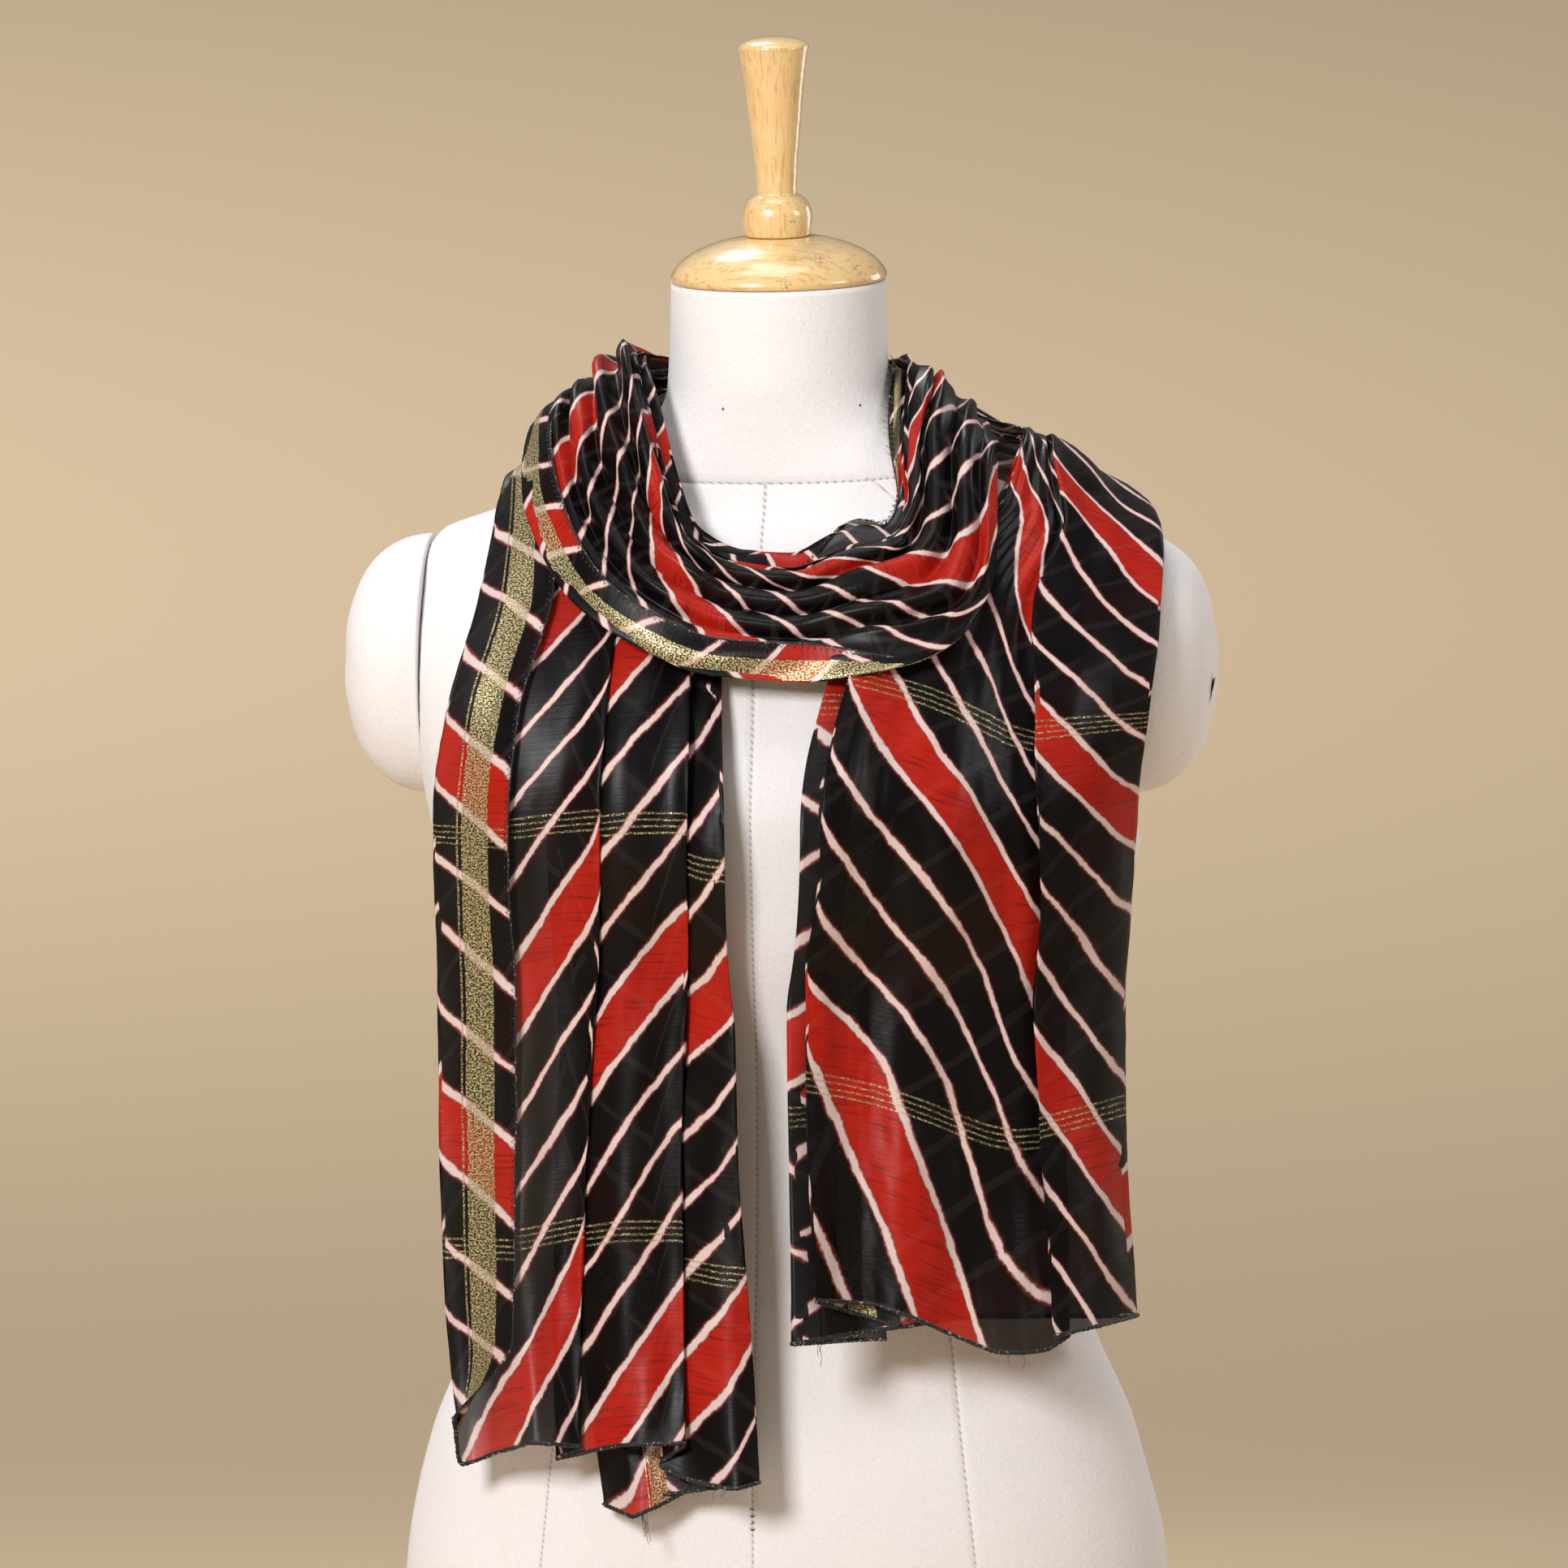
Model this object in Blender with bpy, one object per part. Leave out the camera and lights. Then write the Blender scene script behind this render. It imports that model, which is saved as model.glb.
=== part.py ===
"""A leheriya stole wrapped once round the neck of a small dress form.

The form is a seamed torso with arm stubs and a turned wooden top.  The stole is one
sheet, folded into pleats, that runs up the wearer's right front, round the back of the
neck, across the front as a cowl, round the back again and down the other front.
Metres, +Z up, the front faces -Y.  The origin is the middle of the flat base.
"""
import bpy
import numpy as np
from math import cos, pi, radians, sin, tan

# ---------------------------------------------------------------- driving dimensions
FORM_TURN = radians(-9.0)        # the form stands turned a little to its own right
NECK_TOP = 0.7235                # height of the neck's cut top, at its middle
CAP_TILT = radians(8.0)          # the neck top leans forward by this much
NECK_SHIFT = -0.001              # the neck's middle, sideways
SEAT_GAP = 0.0003                # gap between pieces that touch

SHEET = 0.0010                   # thickness of the stole's solid
CLEAR = 0.0019                   # from the form's surface to the sheet's middle
MIDS = [0, 1, 0, 1, 0, 1, 2, 1, 1, 0]    # extra columns between the folds, per span

# ------------------------------------------------------------------------ dress form
# height, half width, front depth, back depth, squareness, shift to the side
TORSO = np.array([
    (0.000, 0.2010, 0.110, 0.118, 2.2, 0.003),
    (0.050, 0.2000, 0.111, 0.120, 2.2, 0.003),
    (0.124, 0.1850, 0.106, 0.115, 2.2, 0.002),
    (0.180, 0.1620, 0.098, 0.098, 2.2, 0.002),
    (0.235, 0.1480, 0.092, 0.080, 2.2, 0.002),
    (0.300, 0.1520, 0.098, 0.078, 2.2, 0.003),
    (0.386, 0.1730, 0.120, 0.085, 2.3, 0.004),
    (0.440, 0.1860, 0.126, 0.092, 2.5, 0.004),
    (0.490, 0.1930, 0.112, 0.097, 2.8, 0.003),
    (0.540, 0.1950, 0.088, 0.097, 2.9, 0.000),
    (0.572, 0.1910, 0.070, 0.086, 2.8, 0.000),
    (0.594, 0.1780, 0.060, 0.074, 2.5, 0.000),
    (0.604, 0.1520, 0.054, 0.064, 2.3, 0.000),
    (0.618, 0.1180, 0.051, 0.058, 2.1, 0.000),
    (0.634, 0.0860, 0.051, 0.056, 2.0, -0.001),
    (0.650, 0.0660, 0.052, 0.056, 2.0, -0.001),
    (0.668, 0.0585, 0.054, 0.056, 2.0, -0.001),
    (0.7235, 0.0560, 0.056, 0.056, 2.0, -0.001),
])
TORSO_LEVELS = ([0, 10, 28], [0, 0.42, NECK_TOP])    # closer together up the chest and neck
TORSO_SIDES = 40
ARMHOLE = 0.1830                 # the armholes' flats stand this far to each side
ARM_HEIGHT = 0.5240              # middle of an arm stub
ARM_HALF_TALL = 0.0680
ARM_HALF_DEEP = 0.0560
ARM_REACH = 0.0460               # from the armhole's flat to the stub's end
ARM_SIDES = 28

# radius along the axis, height above the neck's top: turned profiles, bottom to top
CAP_PROFILE = [(0.0558, 0.0000), (0.0566, 0.0022), (0.0560, 0.0050), (0.0530, 0.0092),
               (0.0468, 0.0140), (0.0380, 0.0184), (0.0280, 0.0214), (0.0190, 0.0232)]
FINIAL_PROFILE = [(0.0145, 0.0235), (0.0168, 0.0262), (0.0180, 0.0310), (0.0180, 0.0352),
                  (0.0166, 0.0400), (0.0132, 0.0438), (0.0103, 0.0452), (0.0104, 0.0470),
                  (0.0126, 0.0740), (0.0152, 0.1010), (0.0182, 0.1214), (0.0184, 0.1232),
                  (0.0172, 0.1246), (0.0130, 0.1266), (0.0070, 0.1278)]
TURNED_SIDES = 32

# ----------------------------------------------------------------------------- stole
# The stole's path, a row for each section: distance along the cloth, then the places of
# the bundle's outer and inner edge, then how far each edge lies above the form (mm)
PATH = np.array([
    # along   outer x      y       z       inner x      y       z    lifts
    (0.000, -0.1670, -0.030, 0.1110, -0.0090, -0.030, 0.1060, 5, 5),
    (0.082, -0.1768, -0.030, 0.1920, -0.0140, -0.030, 0.1920, 3, 4),
    (0.166, -0.1800, -0.030, 0.2760, -0.0200, -0.030, 0.2760, 4, 4),
    (0.252, -0.1810, -0.032, 0.3610, -0.0240, -0.032, 0.3610, 3, 3),
    (0.338, -0.1790, -0.040, 0.4460, -0.0270, -0.060, 0.4460, 0, 0),
    (0.386, -0.1710, -0.038, 0.4920, -0.0310, -0.060, 0.4920, 0, 0),
    (0.438, -0.1560, -0.032, 0.5400, -0.0370, -0.050, 0.5450, 0, 0),
    (0.470, -0.1490, -0.024, 0.5680, -0.0450, -0.036, 0.5850, 0, 0),
    (0.508, -0.1380, -0.006, 0.5980, -0.0520, -0.018, 0.6300, 0, 0),
    (0.545, -0.1250, 0.028, 0.6050, -0.0530, 0.016, 0.6550, 0, 0),
    (0.595, -0.0900, 0.052, 0.6050, -0.0380, 0.036, 0.6640, 0, 0),
    (0.670, 0.0000, 0.056, 0.6050, 0.0000, 0.048, 0.6720, 0, 0),
    (0.740, 0.0860, 0.046, 0.6080, 0.0400, 0.030, 0.6760, 0, 0),
    (0.790, 0.1020, 0.012, 0.6300, 0.0520, -0.002, 0.6760, 4, 0),
    (0.835, 0.1080, -0.032, 0.6120, 0.0530, -0.028, 0.6420, 12, 0),
    (0.880, 0.1060, -0.040, 0.5740, 0.0560, -0.040, 0.6080, 17, 2),
    (0.925, 0.0880, -0.050, 0.5400, 0.0480, -0.040, 0.5880, 18, 4),
    (0.965, 0.0560, -0.060, 0.5200, 0.0300, -0.042, 0.5800, 12, 5),
    (1.010, 0.0120, -0.064, 0.5150, 0.0060, -0.044, 0.5730, 6, 5),
    (1.055, -0.0320, -0.062, 0.5170, -0.0170, -0.042, 0.5740, 16, 13),
    (1.100, -0.0720, -0.054, 0.5320, -0.0370, -0.038, 0.5840, 25, 22),
    (1.142, -0.1040, -0.040, 0.5560, -0.0450, -0.030, 0.6080, 26, 23),
    (1.185, -0.1220, -0.018, 0.5960, -0.0500, -0.016, 0.6380, 26, 23),
    (1.225, -0.1180, 0.010, 0.6180, -0.0520, 0.006, 0.6560, 25, 22),
    (1.275, -0.1000, 0.050, 0.6080, -0.0420, 0.030, 0.6640, 23, 21),
    (1.350, -0.0200, 0.058, 0.6050, -0.0080, 0.050, 0.6760, 22, 21),
    (1.420, 0.0700, 0.056, 0.6050, 0.0380, 0.032, 0.6740, 22, 22),
    (1.475, 0.1500, 0.030, 0.5980, 0.0960, 0.022, 0.6280, 16, 26),
    (1.515, 0.1830, -0.004, 0.5900, 0.1120, -0.010, 0.6180, 9, 26),
    (1.555, 0.1870, -0.022, 0.5650, 0.1010, -0.036, 0.5940, 3, 3),
    (1.595, 0.1870, -0.030, 0.5350, 0.0680, -0.050, 0.5640, 0, 0),
    (1.640, 0.1830, -0.034, 0.5000, 0.0420, -0.060, 0.5150, 0, 0),
    (1.700, 0.1800, -0.034, 0.4460, 0.0180, -0.060, 0.4460, 1, 1),
    (1.790, 0.1805, -0.030, 0.3610, 0.0120, -0.032, 0.3610, 2, 2),
    (1.875, 0.1815, -0.030, 0.2760, 0.0080, -0.030, 0.2760, 3, 3),
    (1.965, 0.1870, -0.030, 0.1860, 0.0060, -0.030, 0.1820, 4, 4),
])
HANG_FROM = (0.335, 1.70)        # the two panels hang free below these places
ROWS = 90                        # sections along the stole, closer together in the loop
SPACING = ([0, 0.09, 0.86, 1], [0, 0.28, 1.68, PATH[-1, 0]])

# The eleven lines of the cloth, from the selvedge of the folded-over border (0) to the
# other selvedge (10).  A section has four strips of eleven: place across the bundle (outer
# edge 0, inner edge 1), height off the form in mm, the way that the cloth turns there in
# degrees, and how far apart the turn holds its two layers in mm.
LINES = 11
EVEN = [3.0] * LINES
STEPS = [23.4, 19.5, 16.5, 13.5, 10.5, 7.5, 4.5, 1.5, 0.4, 0.2, 0.0]
PLEATED = [0, -90, -90, -90, -90, -90, -90, -90, 0, 0, 0]
SMALL_ROLL = [1.2, 1.2, 1.2, 1.2, 1.2, 1.2, 3.0, 3.0, 3.0, 3.0, 3.0]
WIDE_EDGE = [3.0] * 7 + [13.0] + [3.0] * 3
PANEL_LEFT = ([.24, .00, .50, .36, .80, .66, .98, .42, .50, .58, .66], STEPS, PLEATED, EVEN)
PANEL_LEFT_TOP = ([.46, .00, .52, .36, .80, .62, .98, .20, .38, .56, .72],
                  STEPS, PLEATED, EVEN)
FLAT_WRAP = ([.40, .00, .45, .30, .75, .60, .98, .04, .40, .75, .97],
             [19.0, 17.2, 14.6, 12.0, 9.4, 6.8, 4.2, 1.5, 0.3, 0.2, 0.0], PLEATED,
             [2.6] * LINES)
COWL = ([.26, .00, .32, .38, .60, .66, .94, .04, .38, .72, 1.00],
        [23.5, 13, 22, 14, 23, 14.5, 13, 4.5, 2.4, 2.0, 1.0],
        [0, -90, -20, 0, -20, 0, -90, -90, 0, 0, 0], EVEN)
ROLL_DOWN = ([.76, .80, .83, .86, .89, .92, .97, .03, .38, .72, .97],
             [16, 15.4, 15, 14.6, 14.2, 13.4, 10, 4, 2.4, 2.0, 1.0],
             [0, 0, 0, 0, 0, -30, -90, -90, 0, 0, 0], SMALL_ROLL)
ROLL_OUT = ([.97, .97, .97, .97, .97, .97, .96, .03, .38, .72, .96],
            [24, 21.6, 19.2, 16.8, 14.4, 12, 8, 4, 2.4, 2.0, 1.0],
            [-90, -90, -90, -90, -90, -90, -90, -90, 0, 0, 0], SMALL_ROLL)
ROLL_UP = ([1.02, .94, .84, .73, .61, .46, .28, .02, .38, .72, .96],
           [9, 9, 9, 9, 9, 8.6, 12.5, 5, 2.4, 2.0, 1.0],
           [-180, -180, -180, -180, -180, -180, -180, -90, 0, 0, 0], SMALL_ROLL)
ROLL_OPEN = ([.92, .97, .90, .80, .66, .56, .48, .01, .42, .86, .88],
             [5.6, 9.6, 10, 10, 10, 10.6, 14, 8, 3.2, 3.6, 0],
             [-180, -250, -180, -180, -180, -230, -230, -90, 0, -60, 0],
             [2.0] * 6 + [3.0, 8.0] + [3.0] * 3)
FOLDED_OVER = [7, 8.5, 10, 10, 10, 11.5, 14.5, 9.5, 3, 1.5, 0]
OVER_TURNS = [-180, -270, -180, -180, -180, -270, -270, -90, 0, -90, 0]
PANEL_RIGHT_TOP = ([.80, .95, .86, .78, .64, .40, .54, .00, .45, .98, .76],
                   FOLDED_OVER, OVER_TURNS, WIDE_EDGE)
PANEL_RIGHT = ([.72, .94, .78, .60, .40, .18, .31, .00, .50, 1.00, .74],
               FOLDED_OVER, OVER_TURNS, WIDE_EDGE)
FOLDS = np.array([
    (along, *[value for strip in section for value in strip]) for along, section in [
        (0.000, PANEL_LEFT), (0.340, PANEL_LEFT), (0.460, PANEL_LEFT_TOP),
        (0.560, FLAT_WRAP), (0.740, FLAT_WRAP), (0.850, COWL), (1.200, COWL),
        (1.300, ROLL_DOWN), (1.345, ROLL_OUT), (1.400, ROLL_UP), (1.455, ROLL_OPEN), (1.520, PANEL_RIGHT_TOP),
        (1.640, PANEL_RIGHT), (1.965, PANEL_RIGHT)]])
# how much lower each line hangs at the two hems, mm
DROP_LEFT = np.array([0, 0, -12, -10, -16, 2, 2, 16, 20, 18, 12]) * 0.001
DROP_RIGHT = np.array([4, -10, 2, 14, 16, 4, -4, -8, -2, 12, 8]) * 0.001


def through(rows, at):
    """A smooth curve through table rows (first column the knots): cubic Hermite pieces
    whose slope at a knot is the harmonic mean of the slopes beside it."""
    knots, values = rows[:, 0], rows[:, 1:]
    step = np.diff(knots)[:, None]
    slope = np.diff(values, axis=0) / step
    before, after = slope[:-1], slope[1:]
    same = before * after > 0
    middle = np.where(same, 2 * before * after / np.where(same, before + after, 1.0), 0.0)
    tangent = np.vstack([slope[:1], middle, slope[-1:]])
    at = np.clip(at, knots[0], knots[-1])
    k = np.clip(np.searchsorted(knots, at, side="right") - 1, 0, len(knots) - 2)
    t = ((at - knots[k]) / step[k, 0])[..., None]
    h = step[k]
    return ((2 * t**3 - 3 * t**2 + 1) * values[k] + (t**3 - 2 * t**2 + t) * h * tangent[k]
            + (3 * t**2 - 2 * t**3) * values[k + 1] + (t**3 - t**2) * h * tangent[k + 1])


def turned(points, angle):
    """The points turned about the vertical axis."""
    c, s = cos(angle), sin(angle)
    x, y, z = points[..., 0], points[..., 1], points[..., 2]
    return np.stack([c * x - s * y, s * x + c * y, z], axis=-1)


def neck_lean(y, z):
    """How much the neck's upper end is raised at the back and lowered at the front."""
    rise = np.clip((z - 0.66) / (NECK_TOP - 0.66), 0.0, 1.0)
    return rise * y * tan(CAP_TILT)


def in_form(points):
    """Where a point lies in the form: below 1 inside the torso, above 1 outside."""
    local = turned(points, -FORM_TURN)
    x, y, z = local[..., 0], local[..., 1], local[..., 2]
    row = through(TORSO, z - neck_lean(y, z))
    half, front, back, square, shift = (row[..., i] for i in range(5))
    deep = np.where(y < 0, front, back)
    blunt = (np.abs((x - shift) / half) ** square + np.abs(y / deep) ** square) ** (1 / square)
    tall = (z - ARM_HEIGHT) / ARM_HALF_TALL
    out = np.maximum(np.abs(x) - ARMHOLE, 0) / ARM_REACH
    arm = np.sqrt(out**2 + (y / ARM_HALF_DEEP) ** 2 + tall**2)
    blunt = np.where(np.abs(x) > ARMHOLE, np.minimum(arm, 1.2), blunt)
    return np.where(z > NECK_TOP, 9.0, blunt)


def new_object(name, vertices, faces, colour, rough, smooth_angle=40.0):
    """A named object with its own material, shaded smooth below the angle."""
    mesh = bpy.data.meshes.new(name)
    mesh.from_pydata([tuple(v) for v in vertices], [], faces)
    mesh.validate()
    mesh.update()
    mesh.shade_smooth()
    mesh.set_sharp_from_angle(angle=radians(smooth_angle))
    piece = bpy.data.objects.new(name, mesh)
    bpy.context.collection.objects.link(piece)
    material = bpy.data.materials.new(name)
    material.use_nodes = True
    shader = material.node_tree.nodes["Principled BSDF"]
    shader.inputs["Base Color"].default_value = (*colour, 1.0)
    shader.inputs["Roughness"].default_value = rough
    mesh.materials.append(material)
    return piece


def stacked_rings(rings):
    """Vertices and faces of a closed body from rings of equal length, bottom to top."""
    count, sides = rings.shape[:2]
    faces = [tuple(reversed(range(sides)))]
    for r in range(count - 1):
        low, high = r * sides, (r + 1) * sides
        for i in range(sides):
            j = (i + 1) % sides
            faces.append((low + i, low + j, high + j, high + i))
    faces.append(tuple((count - 1) * sides + i for i in range(sides)))
    return rings.reshape(-1, 3), faces


def add_torso():
    """The torso: blunt ellipses up the table, flat at the armholes and at both ends."""
    height = np.interp(np.arange(TORSO_LEVELS[0][-1] + 1), *TORSO_LEVELS)
    angle = np.linspace(0, 2 * pi, TORSO_SIDES, endpoint=False)
    row = through(TORSO, height)[:, None, :]
    half, front, back, square, shift = (row[..., i] for i in range(5))
    c, s = np.cos(angle)[None, :], np.sin(angle)[None, :]
    x = shift + half * np.sign(c) * np.abs(c) ** (2 / square)
    at_arm = (np.abs(height - ARM_HEIGHT) < ARM_HALF_TALL + 0.02)[:, None]
    x = np.where(at_arm, np.clip(x, -ARMHOLE, ARMHOLE), x)
    y = np.where(s < 0, front, back) * np.sign(s) * np.abs(s) ** (2 / square)
    z = height[:, None] + neck_lean(y, height[:, None])
    rings = turned(np.stack([x, y, z], axis=-1), FORM_TURN)
    new_object("torso", *stacked_rings(rings), colour=(0.83, 0.80, 0.80), rough=0.9)


def add_arm_cap(name, side):
    """A rounded stub on the armhole's flat: half an ellipsoid with a blunt end."""
    lift = np.linspace(0, 0.5 * pi, 9)[:-1]
    lift = np.append(lift, 0.48 * pi)
    angle = np.linspace(0, 2 * pi, ARM_SIDES, endpoint=False) * side
    out = ARMHOLE + SEAT_GAP + ARM_REACH * np.sin(lift)[:, None] ** 0.9 + 0 * angle
    wide = np.cos(lift)[:, None] ** 0.8
    y = ARM_HALF_DEEP * wide * np.cos(angle)
    z = ARM_HEIGHT + ARM_HALF_TALL * wide * np.sin(angle)
    rings = turned(np.stack([side * out, y, z], axis=-1), FORM_TURN)
    new_object(name, *stacked_rings(rings), colour=(0.83, 0.80, 0.80), rough=0.9)


def add_turned_piece(name, profile, lift, rough):
    """A piece turned on the lathe, standing square on the tilted neck top."""
    radius, height = np.array(profile).T
    angle = np.linspace(0, 2 * pi, TURNED_SIDES, endpoint=False)
    x = radius[:, None] * np.cos(angle)
    y = radius[:, None] * np.sin(angle)
    z = (height + lift)[:, None] + 0 * angle
    c, s = cos(CAP_TILT), sin(CAP_TILT)
    rings = np.stack([x + NECK_SHIFT, c * y - s * z, s * y + c * z + NECK_TOP], axis=-1)
    new_object(name, *stacked_rings(turned(rings, FORM_TURN)), colour=(0.68, 0.43, 0.16),
               rough=rough)


def unit(vectors):
    """The vectors at length one."""
    return vectors / np.linalg.norm(vectors, axis=-1, keepdims=True)


def body_height(base, normal):
    """How far out along the normal the form's surface lies, from a base inside it."""
    far = np.zeros(base.shape[:-1])
    for step in (0.004, 0.001, 0.00025):
        for _ in range(48):
            inside = in_form(base + normal * (far + step)[..., None]) < 1.0
            far = np.where(inside, far + step, far)
    return far


def blurred(values, passes, axis):
    """The values averaged with their neighbours along one axis, ends kept."""
    for _ in range(passes):
        low = np.concatenate([values.take([0], axis), values.take(range(values.shape[axis] - 1),
                                                                 axis)], axis)
        high = np.concatenate([values.take(range(1, values.shape[axis]), axis),
                               values.take([-1], axis)], axis)
        values = 0.25 * low + 0.5 * values + 0.25 * high
    return values


def stole_surface(along, mids):
    """The sheet's middle surface.  Each section lies in the plane of the bundle's edges
    and of the outward direction; a point is the outer edge, plus its place across, plus
    outward the form's height there, the lift and its own height."""
    path = through(PATH, along)
    outer, inner, lift = path[:, 0:3], path[:, 3:6], path[:, 6:8] * 0.001
    middle = 0.5 * (outer + inner)
    across = inner - outer
    forward = unit(blurred(unit(np.gradient(middle, along, axis=0)), 3, 0))
    normal = unit(blurred(unit(np.cross(across, forward)), 3, 0))

    grid = np.linspace(0, 1, 21)
    base = outer[:, None] + across[:, None] * grid[:, None]
    far = body_height(base, normal[:, None] + 0 * base)
    chord = far[:, :1] * (1 - grid) + far[:, -1:] * grid
    chord = chord + np.max(far - chord, axis=1, keepdims=True)
    loose = np.interp(along, [0.40, 0.50, 1.56, 1.66], [0.6, 1, 1, 0.6])[:, None]
    far = far + (chord - far) * loose
    far = np.maximum(blurred(far, 2, 0), far) + CLEAR
    left = along < HANG_FROM[0]
    right = along > HANG_FROM[1]
    far[left] = np.maximum.accumulate(far[left][::-1], axis=0)[::-1]
    far[right] = np.maximum.accumulate(far[right], axis=0)

    folds = through(FOLDS, along).reshape(len(along), 4, LINES)
    place, height = folds[:, 0], folds[:, 1] * 0.001
    turn, opening = np.radians(folds[:, 2]), folds[:, 3] * 0.001
    wide = np.linalg.norm(across, axis=1)[:, None]
    half_a = 0.5 * opening * np.cos(turn) / wide
    half_d = 0.5 * opening * np.sin(turn)
    drop_left = DROP_LEFT * np.clip(1.25 - along[:, None] / 0.36, 0, 1)
    drop_right = DROP_RIGHT * np.clip((along[:, None] - 1.62) / 0.3, 0, 1)
    drop = drop_left - drop_right

    columns = []
    for span in range(LINES - 1):
        start = (place[:, span] + (half_a[:, span] if span else 0),
                 height[:, span] + (half_d[:, span] if span else 0), drop[:, span])
        last = span + 1 < LINES - 1
        end = (place[:, span + 1] - (half_a[:, span + 1] if last else 0),
               height[:, span + 1] - (half_d[:, span + 1] if last else 0), drop[:, span + 1])
        for t in np.linspace(0, 1, mids[span] + 2):
            columns.append([(1 - t) * p + t * q for p, q in zip(start, end)])
    a, d, low = np.moveaxis(np.array(columns), 0, -1)

    fine = a * (len(grid) - 1)
    k = np.clip(np.floor(fine).astype(int), 0, len(grid) - 2)
    f = fine - k
    rows = np.arange(len(along))[:, None]
    ground = far[rows, k] * (1 - f) + far[rows, k + 1] * f
    rise = ground + lift[:, :1] * (1 - a) + lift[:, 1:] * a + d
    return (outer[:, None] + across[:, None] * a[..., None] + normal[:, None] * rise[..., None]
            - forward[:, None] * low[..., None])


def mitred_normals(points):
    """The way to each side of a folded grid surface: the unit normals of the two strips
    that meet at a line, added and lengthened so that both strips keep their thickness."""
    forward = unit(np.gradient(points, axis=0))
    strip = unit(np.diff(points, axis=1))
    flat = unit(np.cross(strip, 0.5 * (forward[:, 1:] + forward[:, :-1])))
    before = np.concatenate([flat[:, :1], flat], axis=1)
    after = np.concatenate([flat, flat[:, -1:]], axis=1)
    together = 1.0 + np.sum(before * after, axis=-1, keepdims=True)
    return (before + after) / np.maximum(together, 0.6)


def add_stole():
    """The stole: its middle surface, thickened to both sides and closed at the edges."""
    along = np.interp(np.linspace(0, 1, ROWS), *SPACING)
    middle = stole_surface(along, MIDS)
    normal = mitred_normals(middle)
    rows, columns = middle.shape[:2]
    front = middle + normal * SHEET / 2
    back = middle - normal * SHEET / 2
    vertices = np.concatenate([front.reshape(-1, 3), back.reshape(-1, 3)])
    other = rows * columns
    faces = []
    for r in range(rows - 1):
        for c in range(columns - 1):
            p, q = r * columns + c, (r + 1) * columns + c
            faces.append((p, p + 1, q + 1, q))
            faces.append((other + p, other + q, other + q + 1, other + p + 1))
    edge = ([(r, 0) for r in range(rows)] + [(rows - 1, c) for c in range(1, columns)]
            + [(r, columns - 1) for r in range(rows - 2, -1, -1)]
            + [(0, c) for c in range(columns - 2, 0, -1)])
    loop = [r * columns + c for r, c in edge]
    for p, q in zip(loop, loop[1:] + loop[:1]):
        faces.append((p, q, other + q, other + p))
    new_object("stole", vertices, faces, colour=(0.015, 0.010, 0.010), rough=0.55,
               smooth_angle=70.0)


for old in list(bpy.data.objects):
    bpy.data.objects.remove(old, do_unlink=True)
add_torso()
add_arm_cap("arm_cap_left", -1)
add_arm_cap("arm_cap_right", 1)
add_turned_piece("neck_cap", CAP_PROFILE, SEAT_GAP, rough=0.25)
add_turned_piece("finial", FINIAL_PROFILE, SEAT_GAP, rough=0.25)
add_stole()
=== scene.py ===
"""A leheriya stole wrapped once round the neck of a small dress form, as it looks.

The form, its turned wooden top and the stole are each rebuilt here as fine surfaces around
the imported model.  Metres, +Z up, the front faces -Y.
"""
from functools import partial
from math import cos, pi, radians, sin, tan

import bmesh
import bpy
import numpy as np
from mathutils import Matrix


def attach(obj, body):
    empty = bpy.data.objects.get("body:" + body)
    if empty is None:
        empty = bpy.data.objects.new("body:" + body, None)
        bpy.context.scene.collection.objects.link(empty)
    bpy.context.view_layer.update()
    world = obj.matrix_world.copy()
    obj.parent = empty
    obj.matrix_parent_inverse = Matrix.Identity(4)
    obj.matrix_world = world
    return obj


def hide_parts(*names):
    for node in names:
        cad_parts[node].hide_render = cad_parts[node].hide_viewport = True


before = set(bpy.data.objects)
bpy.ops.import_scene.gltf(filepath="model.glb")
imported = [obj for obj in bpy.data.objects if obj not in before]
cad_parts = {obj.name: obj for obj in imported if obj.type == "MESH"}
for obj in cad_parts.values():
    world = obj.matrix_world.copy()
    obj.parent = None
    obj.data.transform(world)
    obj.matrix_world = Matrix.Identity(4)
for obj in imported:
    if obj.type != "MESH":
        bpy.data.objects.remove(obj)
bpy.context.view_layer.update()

# ------------------------------------------------------------------------- the room
# A plain pale sheet of buff backing paper under and far behind the form, lit from above.
# A large soft light stands at the left front, a weak one at the right, one overhead, and
# one at the right behind the form, which draws the bright line down the handle.


def linear(hex_colour, alpha=1.0):
    """An sRGB hex colour as linear numbers: the sRGB curve undone on each channel."""
    parts = [int(hex_colour[i:i + 2], 16) / 255 for i in (1, 3, 5)]
    return [p / 12.92 if p <= 0.04045 else ((p + 0.055) / 1.055) ** 2.4
            for p in parts] + [alpha]


def add_node(tree, kind, inputs=(), out=0, **settings):
    """A node of that kind with its settings.  inputs gives the values or the sockets of
    its inputs, in order (for MapRange: the value, from low and high, to low and high) or
    by name or number.  Returns the output asked for."""
    node = tree.nodes.new("ShaderNode" + kind)
    for name, value in settings.items():
        setattr(node, name, value)
    pairs = inputs.items() if isinstance(inputs, dict) else enumerate(inputs)
    for name, value in pairs:
        if isinstance(value, bpy.types.NodeSocket):
            tree.links.new(value, node.inputs[name])
        else:
            node.inputs[name].default_value = value
    return node.outputs[out]


def new_material(name, **values):
    """A material of that name with its Principled shader's own values.  Gives it, add_node
    for its tree, and the shader."""
    material = bpy.data.materials.new(name)
    material.use_nodes = True
    shader = material.node_tree.nodes["Principled BSDF"]
    for socket, value in values.items():
        shader.inputs[socket.replace("_", " ")].default_value = value
    return material, partial(add_node, material.node_tree), shader


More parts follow.
